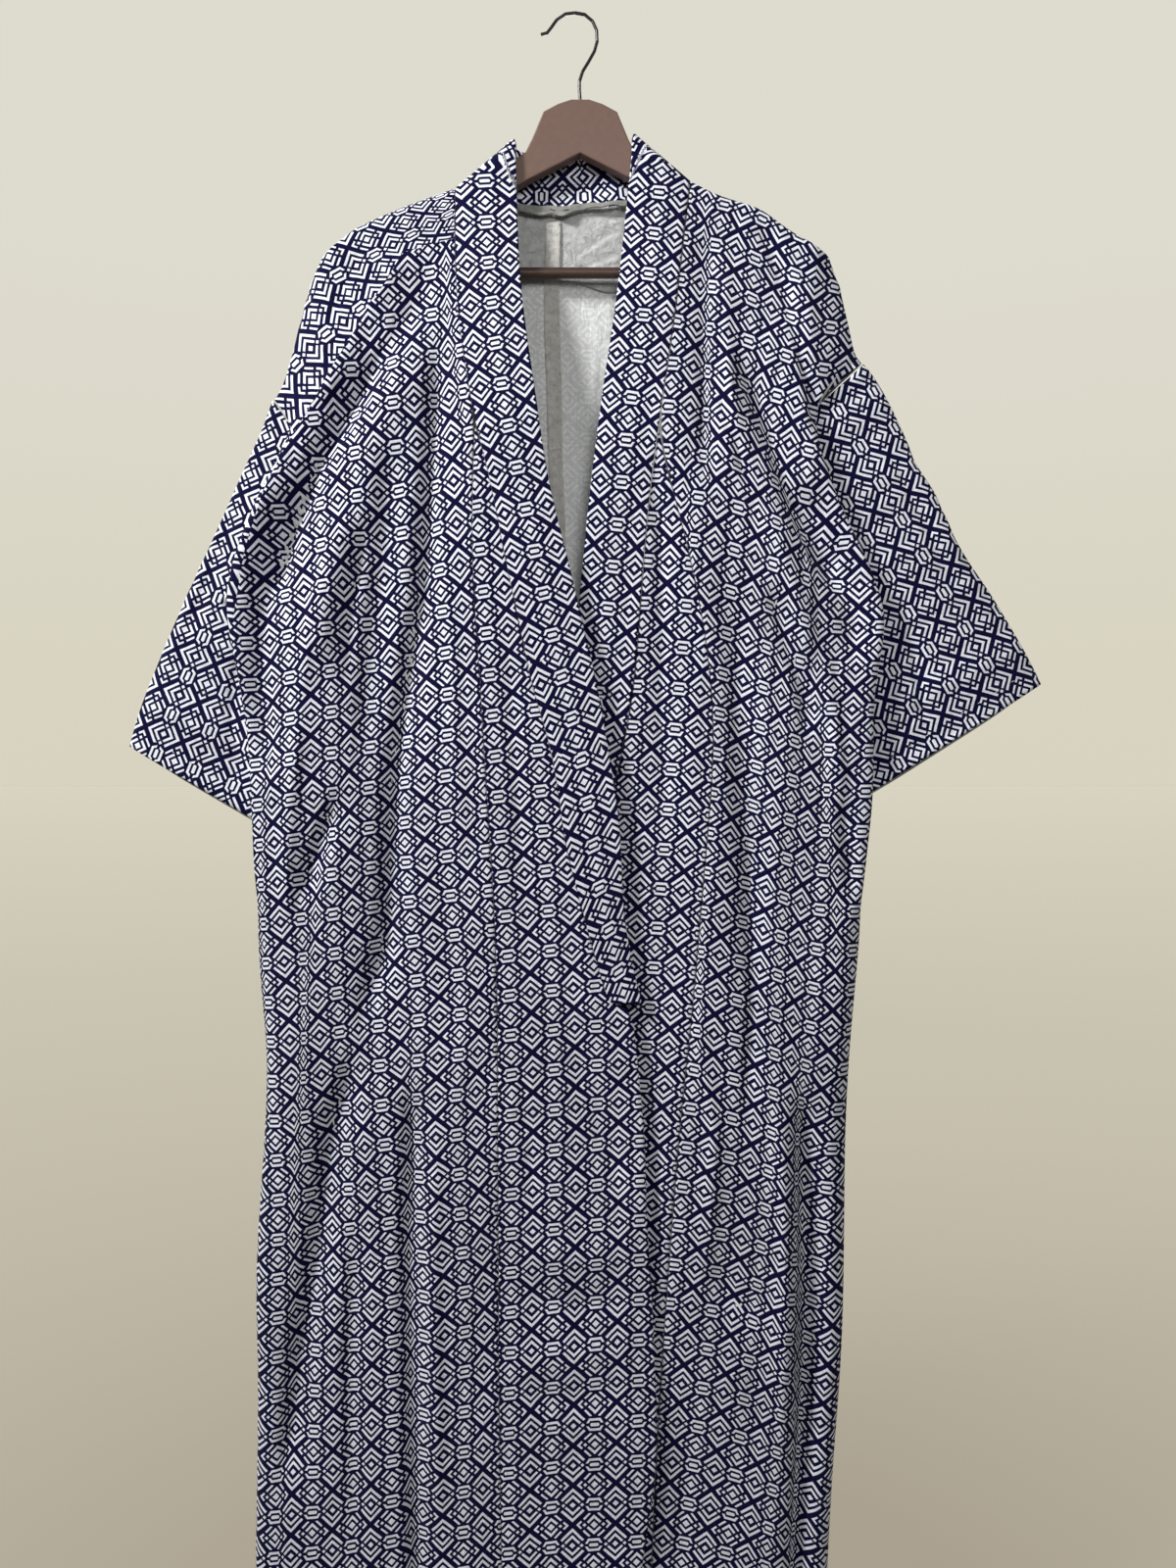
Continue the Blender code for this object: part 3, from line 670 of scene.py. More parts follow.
@dataclass(frozen=True)
class LacqueredWire(PlainPlastic):
    """Steel wire dipped in black lacquer, rubbed a little on its bends."""

    name: str = "black_lacquered_steel_wire"
    colour: str = "#1c1c1e"
    deep: str = "#0e0e10"
    roughness: float = 0.28
    mottle: float = 0.004
    relief: float = 0.00003


@dataclass(frozen=True)
class ThreadFinish(PlainPlastic):
    """Spun polyester sewing thread, matt and slightly fuzzy."""

    name: str = "white_polyester_thread"
    colour: str = "#e9e9ec"
    deep: str = "#cfcfd4"
    roughness: float = 0.8
    mottle: float = 0.0015
    relief: float = 0.0001


@dataclass(frozen=True)
class LiningCotton:
    """Bleached plain-weave lining cotton, unprinted and slightly creased."""

    name: str = "bleached_lining_cotton"
    colour: str = "#dddedb"
    roughness: float = 0.9
    thread: float = 1.1
    dents: float = 150.0
    crumple: float = 4.0

    def material(self) -> bpy.types.Material:
        """Builds the node material.

        Returns:
            The material, with its thread shade and weave relief.
        """
        made, tree, shader = blank_material(self.name)
        place = add_node(tree, "TexCoord")
        pitch = 1 / (self.thread * MM)
        slub = pitch * 0.1
        weave = add_threads(tree, place.outputs["Object"], ((pitch, slub, slub), (slub, slub, pitch)), 0.5)
        shade = add_node(tree, "MapRange", {0: weave, 1: WEAVE_LOW, 2: WEAVE_HIGH, 3: 0.90, 4: 1.0})
        # Washing leaves the cloth crumpled in soft dents from 8 mm down to 2 mm apart
        dents = add_node(tree, "TexNoise", {"Vector": place.outputs["Object"], "Scale": self.dents,
                                            "Detail": 6.0, "Roughness": 0.7, "Distortion": 0.8})
        dented = add_node(tree, "Bump", {"Height": dents.outputs["Fac"], "Strength": 1.0,
                                         "Distance": self.crumple * MM})
        # Painted shade greys the hollows of the crumples
        painted_crumple_shade = add_node(tree, "MapRange", {0: dents.outputs["Fac"], 1: 0.35, 2: 0.6, 3: 0.78, 4: 1.04})
        tone = add_node(tree, "Math", {0: shade.outputs[0], 1: painted_crumple_shade.outputs[0]}, operation="MULTIPLY")
        final = add_node(tree, "VectorMath", {0: linear_colour(self.colour)[:3], 3: tone.outputs[0]},
                         operation="SCALE")
        bump = add_node(tree, "Bump", {"Height": weave, "Distance": 0.4 * MM, "Strength": 0.3,
                                       "Normal": dented.outputs[0]})
        tree.links.new(final.outputs[0], shader.inputs["Base Color"])
        tree.links.new(bump.outputs[0], shader.inputs["Normal"])
        shader.inputs["Roughness"].default_value = self.roughness
        shader.inputs["Sheen Weight"].default_value = 0.15
        shader.inputs["Specular IOR Level"].default_value = 0.25
        return made


@dataclass
class ClothPiece:
    """One cut piece of the robe as a thin shell on its solid's form.

    Attributes:
        node: CAD node that it stands for.
        flat: Width and length that it was cut to, metres. Not used.
        lays: Lay of the print on the front and on the back layers.
        creases: Creases of the front and of the back layers.
        levels: Subdivision of the solid's faces.
        side: -1 or 1 where the piece wraps its side of the robe from front to back.
        cap: Lay of the print beyond the line cap_line, where a pleat hides the turn between.
    """

    node: str
    flat: Point
    lays: dict[Facing, Lay | TurnedLay]
    creases: dict[Facing, tuple[Crease, ...]]
    materials: tuple[bpy.types.Material, ...]
    slot: str = "printed_cotton"
    levels: int = 3
    wall: float = WALL
    refine_front: bool = False
    side: int = 0
    cap: FanLay | None = None
    cap_line: Run = ()
    area: float | None = None
    held: str = "hung"
    rests_on: tuple[str, ...] = ("hanger_body",)

    def cage(self) -> bpy.types.Object:
        """Copies the solid's faces as quads, with sharp rims and its two sheets told apart.

        Returns:
            A new object, its right side in material 0 and its wrong side in material 1.
        """
        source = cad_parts[self.node].data
        shape = bmesh.new()
        verts = [shape.verts.new(v.co) for v in source.vertices]
        for polygon in source.polygons:
            shape.faces.new([verts[i] for i in polygon.vertices])
        bmesh.ops.remove_doubles(shape, verts=shape.verts, dist=1e-6)
        bmesh.ops.recalc_face_normals(shape, faces=shape.faces)
        bmesh.ops.join_triangles(
            shape, faces=shape.faces, angle_face_threshold=math.radians(60),
            angle_shape_threshold=math.pi,
        )
        limit = self.wall * RIM_REACH * MM
        rims = set()
        for face in shape.faces:
            short = sorted(edge.calc_length() for edge in face.edges)
            if short[0] < limit and (len(short) == 3 or short[1] < limit):
                sharp = sum(
                    len(e.link_faces) == 2 and e.calc_face_angle(0.0) > RIM_ANGLE for e in face.edges
                )
                if sharp >= min(2, len(short) - 2):
                    rims.add(face)
        layer = shape.edges.layers.float.new("crease_edge")
        for face in rims:
            for edge in face.edges:
                if any(other not in rims for other in edge.link_faces):
                    edge[layer] = 1.0
        self._mark_sheets(shape, rims)
        for face in shape.faces:
            face.smooth = True
        mesh = bpy.data.meshes.new(self.node)
        for material in self.materials:
            mesh.materials.append(material)
        shape.to_mesh(mesh)
        shape.free()
        made = bpy.data.objects.new(f"{self.node}_cloth", mesh)
        bpy.context.scene.collection.objects.link(made)
        return made

    def _mark_sheets(self, shape: bmesh.types.BMesh, rims: set) -> None:
        """Gives the sheet that faces inwards material 1, and all else material 0.

        Args:
            shape: The cage.
            rims: Its faces across the wall's edge.
        """
        if len(self.materials) == 1:
            return
        if self.side:
            away = Vector((0.35 * self.side, 0.0, 0.15))
            for face in shape.faces:
                middle = face.calc_center_median()
                outward = face.normal.dot(away) + math.copysign(face.normal.y, face.normal.y * middle.y)
                face.material_index = 0 if face in rims or outward > 0 else 1
            return
        left = set(shape.faces) - rims
        while left:
            sheet = {left.pop()}
            front = list(sheet)
            while front:
                face = front.pop()
                for edge in face.edges:
                    for other in edge.link_faces:
                        if other in left:
                            left.remove(other)
                            sheet.add(other)
                            front.append(other)
            outward = sum(f.normal.y * math.copysign(f.calc_area(), f.calc_center_median().y)
                          for f in sheet)
            for face in sheet:
                face.material_index = 1 if outward < 0 else 0

    def smooth(self, made: bpy.types.Object) -> None:
        """Subdivides the cage and applies the result.

        Args:
            made: The cage.
        """
        rounder = made.modifiers.new("round", "SUBSURF")
        rounder.levels = rounder.render_levels = self.levels
        mesh = apply_modifiers(made)
        if self.refine_front:
            shape = bmesh.new()
            shape.from_mesh(mesh)
            shown = [f for f in shape.faces if f.material_index == 0 and f.calc_center_median().y < 0]
            edges = {e for f in shown for e in f.edges}
            bmesh.ops.subdivide_edges(shape, edges=list(edges), cuts=1, use_grid_fill=True)
            for face in shape.faces:
                face.smooth = True
            shape.to_mesh(mesh)
            shape.free()

    def fold(self, mesh: bpy.types.Mesh) -> None:
        """Moves both faces of the wall by the creases of their layer.

        Args:
            mesh: Mesh of the piece.
        """
        co = read_places(mesh)
        for facing, creases in self.creases.items():
            layer = smooth_step(*LAYER_DEPTH, co[:, 1] * facing.value)
            height = sum(crease.height(co[:, 0], co[:, 2]) for crease in creases)
            co[:, 1] += facing.value * layer * height * freedom(co[:, 0], co[:, 2])
        write_places(mesh, co)

    def lay_print(self, mesh: bpy.types.Mesh) -> None:
        """Gives each corner its place on the flat cloth.

        Args:
            mesh: Mesh of the piece.
        """
        co = read_places(mesh)
        front = self.lays[Facing.FRONT].place(co[:, 0], co[:, 2])
        back = self.lays.get(Facing.BACK, self.lays[Facing.FRONT]).place(co[:, 0], co[:, 2])
        index = corner_vertices(mesh)
        totals = np.empty(len(mesh.polygons), dtype=np.int32)
        mesh.polygons.foreach_get("loop_total", totals)
        sums = np.add.reduceat(co[index, 1], np.concatenate(([0], np.cumsum(totals)[:-1])))
        behind = np.repeat(sums > 0, totals)
        own = np.where(behind[:, None], back[index], front[index])
        add_cloth_map(mesh, "weave", own)
        if self.cap is None:
            add_cloth_map(mesh, "weave_cap", own)
            return
        add_cloth_map(mesh, "weave_cap", self.cap.place(co[:, 0], co[:, 2])[index])
        places = [p[0] for p in self.cap_line]
        levels = [p[1] for p in self.cap_line]
        region = mesh.attributes.new("cap", "FLOAT", "POINT")
        over = co[:, 2] - np.interp(co[:, 0], places, levels)
        # The cap is on the front only, and ends at the line's last place
        over = np.where((co[:, 0] > places[-1]) | (co[:, 1] > 2.0), -50.0, over)
        region.data.foreach_set("value", over.astype(np.float32))

    def build(self) -> bpy.types.Object:
        """Builds, folds and dresses the piece.

        Returns:
            The finished piece, riding on the frame.
        """
        made = self.cage()
        self.smooth(made)
        self.fold(made.data)
        self.lay_print(made.data)
        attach(made, "root")
        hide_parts(self.node)
        return made


@dataclass(frozen=True)
class StripSection:
    """Cross-line of the collar.

    Attributes:
        seam: Its end at the neck seam, mm.
        free: Its end at the free edge, mm.
        slip: How far the print has slipped across the strip, mm.
        twist: Rise of the weft for each mm across, where the strip is twisted.
    """

    seam: tuple[float, float, float]
    free: tuple[float, float, float]
    slip: float = 0.0
    twist: float = 0.0


@dataclass(frozen=True)
class StripLay:
    """Lay of the print on the collar, whose warp follows the strip round the neck."""

    sections: tuple[StripSection, ...]
    start: Point

    def length(self) -> float:
        """Length of the strip's middle line, mm."""
        middles = [[(p + q) / 2 for p, q in zip(s.seam, s.free)] for s in self.sections]
        return sum(math.dist(a, b) for a, b in zip(middles, middles[1:]))

    def place(self, co: np.ndarray) -> np.ndarray:
        """Cloth coordinates in repeats of the print.

        Args:
            co: Places in mm, one row each.

        Returns:
            One row of weft and warp coordinate for each place.
        """
        seams = np.array([s.seam for s in self.sections], dtype=float)
        frees = np.array([s.free for s in self.sections], dtype=float)
        middles = (seams + frees) / 2
        across = frees - seams
        across /= np.linalg.norm(across, axis=1)[:, None]
        # The strip's ends cross a few millimetres apart, so depth counts more there
        stretch = np.ones(co.shape)
        stretch[:, 1] += 5.0 * smooth_step(450.0, 520.0, -co[:, 2])
        nearest = np.full(len(co), 1e9)
        weft = np.zeros(len(co))
        warp = np.zeros(len(co))
        run = 0.0
        for a, b, turn_a, turn_b, first, second in zip(
            middles, middles[1:], across, across[1:], self.sections, self.sections[1:]
        ):
            way = b - a
            length = np.linalg.norm(way)
            t = np.clip(((co - a) @ way) / length ** 2, 0.0, 1.0)
            foot = a + t[:, None] * way
            away = np.linalg.norm((co - foot) * stretch, axis=1)
            turn = turn_a + t[:, None] * (turn_b - turn_a)
            closer = away < nearest
            nearest = np.where(closer, away, nearest)
            side_step = np.einsum("ij,ij->i", co - foot, turn)
            twist = first.twist + t * (second.twist - first.twist)
            slip = first.slip + t * (second.slip - first.slip)
            weft = np.where(closer, side_step + slip, weft)
            warp = np.where(closer, run + t * length - twist * side_step, warp)
            run += length
        return np.stack((weft - self.start[0], warp - self.start[1]), axis=1) / CELL


@dataclass
class CollarPiece(ClothPiece):
    """The doubled collar band, printed on both of its faces."""

    strip: StripLay | None = None
    wall: float = COLLAR_WALL
    right_creases: tuple[Crease, ...] = ()

    def fold(self, mesh: bpy.types.Mesh) -> None:
        """Moves each half of the band by the creases of the front that carries it.

        Args:
            mesh: Mesh of the piece.
        """
        co = read_places(mesh)
        warp = self.strip.place(co)[:, 1] * CELL + self.strip.start[1]
        first_half = warp < self.strip.length() / 2
        layer = smooth_step(*LAYER_DEPTH, -co[:, 1])
        left = sum(crease.height(co[:, 0], co[:, 2]) for crease in self.creases[Facing.FRONT])
        right = sum(crease.height(co[:, 0], co[:, 2]) for crease in self.right_creases)
        co[:, 1] -= layer * np.where(first_half, left, right) * freedom(co[:, 0], co[:, 2])
        write_places(mesh, co)

    def lay_print(self, mesh: bpy.types.Mesh) -> None:
        """Gives each vertex its place along the strip.

        Args:
            mesh: Mesh of the piece.
        """
        placed = self.strip.place(read_places(mesh))[corner_vertices(mesh)]
        for name in ("weave", "weave_cap"):
            add_cloth_map(mesh, name, placed)


LEFT_SLOPES: Run = ((-300, 0.14), (-200, 0.17), (-120, 0.16), (-60, 0.15), (20, 0.11), (80, 0.08))
LEFT_LEANS: Run = ((-1100, 0.01), (-980, -0.01), (-860, -0.08), (-300, -0.08))
LEFT_STRIP_LEANS: Run = ((-1100, 0.01), (-980, 0.0), (-800, -0.06), (-500, -0.08))
RIGHT_LEANS: Run = ((-1200, 0.12), (-900, 0.09), (-300, 0.09))
FRONT_CROWD: Run = (
    (-1500, 1.05), (-1150, 1.08), (-800, 1.07), (-656, 1.05), (-540, 1.01), (-450, 0.98), (-340, 0.965),
)
RIGHT_SLOPES: Run = (
    (-90, -0.05), (70, -0.04), (100, -0.14), (130, -0.26), (165, -0.42), (205, -0.40), (225, -0.05),
    (260, 0.0),
)
LEFT_TUCKS = (
    Tuck(9, 7, ((-113, -205), (-111, -270), (-104, -330), (-98, -375))),
    Tuck(14, 11, ((-143, -940), (-146, -1100), (-143, -1300), (-138, -1500))),
    Tuck(16, 7, ((-117, -262), (-125, -390), (-134, -519), (-149, -605), (-160, -691), (-166, -820))),
    Tuck(12, 5, ((-235, -800), (-240, -1000), (-250, -1200), (-262, -1450))),
    Tuck(9, 6, ((-205, -690), (-222, -760), (-236, -900), (-250, -1100))),
    Tuck(60, 5, ((-196, -330), (-200, -900), (-196, -1500))),
    Tuck(10, 6, ((-266, -640), (-274, -780), (-276, -1000))),
    Tuck(50, 4, ((-80, -420), (-88, -900), (-84, -1500))),
)
RIGHT_TUCKS = (
    Tuck(10, 9, ((118, -180), (117, -300), (118, -430))),
    Tuck(13, 14, ((196, -960), (200, -1120), (197, -1250), (190, -1490))),
    Tuck(12, 6, ((206, -500), (222, -700), (232, -850))),
    Tuck(60, 9, ((176, -340), (186, -700), (178, -1500))),
    Tuck(9, 6, ((160, -330), (176, -400), (196, -460), (214, -520))),
    Tuck(9, 6, ((100, -420), (104, -560), (112, -760), (110, -940))),
)

LEFT_CREASES = (
    Crease(13, -4.2, ((-240, -415), (-262, -470), (-274, -540), (-276, -620), (-268, -700)), 0.2, 1.3),
    Crease(12, 3.0, ((-196, -430), (-214, -520), (-232, -610)), 0.3),
    Crease(14, -3.0, ((-152, -330), (-162, -440), (-176, -560), (-186, -690)), 0.3),
    Crease(7, -3.6, ((-117, -262), (-125, -390), (-134, -519), (-149, -605), (-160, -691), (-166, -820),
                     (-190, -914)), 0.12, 1.7),
    Crease(8, -3.4, ((-190, -914), (-215, -1000), (-228, -1103), (-245, -1206), (-256, -1320)), 0.15, 1.8),
    Crease(8, -4.4, ((-128, -214), (-136, -258), (-166, -305), (-197, -352), (-226, -405), (-250, -467),
                     (-270, -530)), 0.12, 1.6),
    Crease(6, 2.4, ((-146, -214), (-177, -261), (-209, -321), (-226, -362)), 0.2, 1.6),
    Crease(5, -1.8, ((-186, -206), (-205, -250), (-222, -300))),
    Crease(6, -2.4, ((-204, -690), (-222, -738), (-243, -800)), 0.3, 1.8),
    Crease(7, -2.2, ((-96, -330), (-99, -420), (-92, -520)), 0.3, 0.6),
    Crease(6, 1.8, ((-108, -520), (-104, -640), (-96, -760)), 0.3),
    Crease(6, -2.0, ((-62, -520), (-52, -640), (-46, -760), (-30, -860)), 0.3),
    Crease(7, 2.6, ((4, -868), (24, -910), (44, -958)), 0.25, 1.6),
    Crease(7, -3.0, ((-14, -910), (14, -968), (48, -1052)), 0.25, 1.8),
    Crease(6, -2.0, ((-60, -900), (-40, -985), (-34, -1080)), 0.3),
    Crease(9, 2.6, ((-52, -1100), (-6, -1106), (58, -1098)), 0.3, 1.4),
    Crease(10, -2.6, ((-62, -1136), (0, -1150), (64, -1138)), 0.3, 1.4),
    Crease(8, 2.4, ((-56, -1196), (0, -1190), (60, -1184)), 0.3),
    Crease(8, -2.6, ((-62, -1226), (-4, -1232), (58, -1222)), 0.3, 1.4),
    Crease(6, -3.4, ((-143, -940), (-147, -1100), (-143, -1300), (-138, -1490)), 0.12, 2.2),
    Crease(6, 2.0, ((-120, -960), (-122, -1150), (-118, -1380)), 0.3),
    Crease(7, -2.2, ((-190, -1040), (-196, -1200), (-192, -1400)), 0.3, 1.5),
    Crease(8, 2.2, ((-236, -600), (-247, -700), (-252, -830)), 0.3),
    Crease(5, -1.6, ((-180, -450), (-196, -540), (-200, -620))),
    Crease(5, 1.5, ((-214, -480), (-232, -560), (-240, -640))),
)
RIGHT_CREASES = (
    Crease(13, -3.6, ((196, -420), (222, -470), (244, -520), (250, -590)), 0.2, 1.4),
    Crease(13, 2.8, ((168, -430), (190, -520), (214, -610)), 0.3),
    Crease(14, -3.2, ((136, -470), (146, -600), (156, -740), (150, -900)), 0.3),
    Crease(4, -3.6, ((160, -184), (170, -205), (178, -226), (187, -252), (192, -276), (200, -308),
                     (208, -345), (214, -385)), 0.12, 2.0),
    Crease(5, 2.0, ((178, -190), (188, -214), (197, -244), (202, -275)), 0.25),
    Crease(7, -3.4, ((140, -300), (160, -347), (178, -399), (196, -450), (216, -488), (240, -530)), 0.15,
           1.9),
    Crease(5, -1.8, ((126, -330), (142, -392), (156, -440)), 0.3),
    Crease(6, -2.6, ((172, -512), (196, -588), (211, -652)), 0.2, 1.7),
    Crease(6, -2.4, ((70, -380), (77, -485), (80, -562), (78, -640), (84, -734)), 0.2, 0.6),
    Crease(5, -2.6, ((116, -182), (115, -300), (113, -430)), 0.2, 1.8),
    Crease(6, 1.8, ((134, -190), (136, -300), (142, -430)), 0.3),
    Crease(6, -4.0, ((198, -960), (203, -1120), (200, -1249), (193, -1440)), 0.1, 2.4),
    Crease(7, 2.2, ((180, -940), (184, -1120), (182, -1300)), 0.3),
    Crease(6, -2.2, ((236, -700), (243, -760), (246, -800)), 0.3),
    Crease(9, -1.4, ((112, -1110), (140, -1146), (172, -1166)), 0.3, 1.5),
    Crease(7, 2.0, ((104, -880), (122, -1000), (116, -1130)), 0.3),
    Crease(6, -2.0, ((150, -720), (158, -850), (152, -1000)), 0.3, 1.6),
    Crease(6, -2.0, ((92, -1180), (96, -1300), (88, -1450)), 0.3, 1.5),
    Crease(6, 1.8, ((216, -560), (228, -640), (236, -720)), 0.3),
    Crease(5, -1.8, ((60, -960), (66, -1080), (62, -1220)), 0.3),
)
BACK_CREASES = (
    Crease(8, 3.0, ((-196, -320), (-208, -640), (-216, -1000), (-206, -1380)), 0.2, 1.6),
    Crease(7, -3.0, ((-152, -270), (-150, -610), (-139, -1040), (-147, -1400)), 0.2, 1.7),
    Crease(6, 2.2, ((-98, -440), (-90, -790), (-98, -1260)), 0.25, 0.7),
    Crease(6, -2.4, ((-50, -520), (-54, -880), (-42, -1290)), 0.3, 1.5),
    Crease(6, 2.2, ((44, -480), (54, -880), (47, -1330)), 0.25, 1.6),
    Crease(7, -2.8, ((98, -310), (93, -680), (105, -1180)), 0.2, 1.7),
    Crease(8, 3.0, ((150, -300), (160, -610), (152, -980), (141, -1380)), 0.2, 0.7),
    Crease(6, -2.2, ((200, -430), (206, -740), (190, -1180)), 0.3, 1.4),
    Crease(6, -2.2, ((-222, -300), (-238, -380), (-262, -470)), 0.3, 1.6),
    Crease(5, 1.8, ((206, -280), (216, -370), (244, -470)), 0.3),
    Crease(9, -2.2, ((-120, -1120), (-60, -1142), (-24, -1136)), 0.3, 1.4),
    Crease(9, -2.0, ((20, -1210), (80, -1226), (124, -1214)), 0.3, 1.4),
    Crease(5, -1.6, ((-70, -210), (-40, -236), (-6, -240)), 0.3),
    Crease(5, 1.5, ((60, -212), (96, -262), (120, -340)), 0.3),
)
LEFT_SLEEVE_CREASES = (
    Crease(3.0, 2.6, ((-312, -520), (-303, -528), (-296, -541)), 0.25, 1.4),
    Crease(2.2, -2.6, ((-316, -527), (-306, -534), (-300, -546)), 0.25),
    Crease(2.4, 2.2, ((-308, -537), (-299, -541), (-290, -538)), 0.25),
    Crease(5, -2.0, ((-300, -430), (-326, -500), (-352, -570)), 0.25, 1.5),
    Crease(5, 1.8, ((-318, -470), (-350, -545), (-376, -618)), 0.25),
    Crease(5, -2.2, ((-300, -560), (-306, -640), (-296, -700)), 0.3, 1.4),
    Crease(6, 1.8, ((-276, -610), (-284, -660), (-276, -720)), 0.3),
)
RIGHT_SLEEVE_CREASES = (
    Crease(5, -2.0, ((276, -380), (310, -450), (340, -520)), 0.25, 1.5),
    Crease(5, 1.8, ((320, -440), (352, -505), (384, -570)), 0.25),
    Crease(5, -2.2, ((288, -520), (306, -590), (316, -650)), 0.3, 1.4),
    Crease(6, 1.8, ((262, -560), (270, -620), (276, -680)), 0.3),
)
LINING_CREASES = (
    Crease(1.8, 2.0, ((0, -214), (16, -204), (28, -196), (46, -190)), 0.15, 2.4),
    Crease(1.6, -1.6, ((2, -217.5), (17, -207.5), (29, -199.5), (46, -193.5)), 0.15),
    Crease(1.8, 1.8, ((-4, -229), (20, -219), (44, -210)), 0.15, 2.2),
    Crease(1.6, -1.5, ((-2, -232.5), (21, -222.5), (44, -213.5)), 0.15),
    Crease(2.4, -1.2, ((10, -194), (28, -186), (46, -181)), 0.25),
    Crease(2.6, 1.1, ((-60, -190), (-46, -198), (-28, -200)), 0.25),
    Crease(2.4, -1.1, ((-58, -212), (-40, -216), (-26, -212)), 0.25),
    Crease(3.0, 1.2, ((-44, -226), (-30, -222), (-14, -230)), 0.25),
    Crease(4.0, -1.4, ((-18, -184), (-16, -206), (-20, -230)), 0.2),
    Crease(4.0, 1.2, ((-26, -184), (-25, -206), (-28, -230)), 0.2),
)

LEFT_CAP_LINE: Run = (
    (-400, -620), (-301, -554), (-288, -485), (-272, -433), (-254, -395), (-236, -365), (-226, -346),
    (-210, -318), (-196, -294), (-183, -268), (-167, -246), (-152, -219), (-125, -210), (-99, -205),
)
BACK_LAY = Lay((12.0, -600.0), ((-300, 0.05), (0, 0.0), (300, -0.05)))

COLLAR_SECTIONS = tuple(
    StripSection(*lines)
    for lines in (
        ((31, -31, -883), (60, -31, -883), 0.0, 0.42), ((3, -31, -783), (42, -31, -783), 0.0, 0.34),
        ((-18, -30, -664), (29, -31, -664), 0.0, 0.22), ((-42, -29, -581), (13, -30, -581), 0.0, 0.1),
        ((-62, -28, -486), (-7, -29, -486)), ((-87, -27, -373), (-30, -28, -373)),
        ((-99, -24, -300), (-41, -25, -294)), ((-106, -16, -220), (-49, -19, -202)),
        ((-106, -4, -165), (-52, -8, -124)), ((-100, 3, -161), (-56, 6, -114), 8.0),
        ((-56, 11, -170), (-39, 13, -120), 12.9), ((8, 12, -170), (6, 14, -122), 12.9),
        ((62, 10, -163), (46, 13, -118), 12.9), ((99, 3, -154), (56, 6, -111), 8.0),
        ((104, -4, -158), (52, -8, -120)), ((97, -16, -215), (44, -19, -197)),
        ((86, -24, -300), (32, -25, -294)), ((75, -26, -373), (20, -27, -373)),
        ((62, -26, -500), (7, -27, -500)), ((50, -25, -620), (-11, -24, -620)),
        ((20, -22, -750), (-36, -21, -750)), ((-28, -19, -883), (-82, -19, -883)),
    )
)


@dataclass
class Hanger:
    """Moulded hanger with its bar and wire hook, kept as the frame's solids and given finishes."""

    plastic: PlainPlastic = PlainPlastic()
    # The bar's plastic is a darker copy of the hanger's: painted shade for the bar, which hangs in the
    # robe's shade
    bar: PlainPlastic = PlainPlastic(name="brown_polypropylene_painted_shade", colour="#4e382e", deep="#3c2a22")
    wire: LacqueredWire = LacqueredWire()

    def dress(self) -> None:
        """Gives the solids their materials."""
        brown, black, bar = self.plastic.material(), self.wire.material(), self.bar.material()
        for name, material in (("hanger_body", brown), ("trouser_bar", bar), ("hook", black)):
            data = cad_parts[name].data
            data.materials.clear()
            data.materials.append(material)


@dataclass
class Threads:
    """Short runs of sewing thread as one curve object.

    Attributes:
        name: Name of the piece.
        radius: Thickness of the thread as drawn, mm. Real thread is 0.2 mm thick.
        runs: Points of each stitch, mm.
    """

    name: str
    radius: float
    runs: list[list[tuple[float, float, float]]]

    def build(self, material: bpy.types.Material) -> bpy.types.Object:
        """Builds the stitches.

        Args:
            material: Finish of the thread.

        Returns:
            The piece, riding on the frame.
        """
        data = bpy.data.curves.new(self.name, "CURVE")
        data.dimensions = "3D"
        data.bevel_depth = self.radius * MM
        data.bevel_resolution = 1
        data.use_fill_caps = True
        for run in self.runs:
            line = data.splines.new("POLY")
            line.points.add(len(run) - 1)
            for point, place in zip(line.points, run):
                point.co = (*(c * MM for c in place), 1.0)
        data.materials.append(material)
        made = bpy.data.objects.new(self.name, data)
        bpy.context.scene.collection.objects.link(made)
        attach(made, "root")
        return made


@dataclass
class Strip:
    """Narrow strip of cloth, from rows of points across it, with its own wall.

    Attributes:
        name: Name of the piece.
        rows: Points of each row, mm.
        flat: Width and length that it was cut to, metres. Not used.
        wall: Thickness, mm.
    """

    name: str
    rows: list[list[tuple[float, float, float]]]
    flat: Point
    wall: float = 0.7

    def build(self, material: bpy.types.Material) -> bpy.types.Object:
        """Builds the strip with a smooth surface.

        Args:
            material: Finish of the cloth.

        Returns:
            The piece, riding on the frame.
        """
        mesh = bpy.data.meshes.new(self.name)
        shape = bmesh.new()
        verts = [[shape.verts.new([c * MM for c in point]) for point in row] for row in self.rows]
        for upper, lower in zip(verts, verts[1:]):
            for a, b, c, d in zip(upper, upper[1:], lower[1:], lower):
                shape.faces.new((a, b, c, d)).smooth = True
        bmesh.ops.recalc_face_normals(shape, faces=shape.faces)
        shape.to_mesh(mesh)
        shape.free()
        mesh.materials.append(material)
        made = bpy.data.objects.new(self.name, mesh)
        bpy.context.scene.collection.objects.link(made)
        wall = made.modifiers.new("wall", "SOLIDIFY")
        wall.thickness = self.wall * MM
        wall.offset = 0.0
        rounder = made.modifiers.new("round", "SUBSURF")
        rounder.levels = rounder.render_levels = 2
        apply_modifiers(made)
        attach(made, "root")
        return made


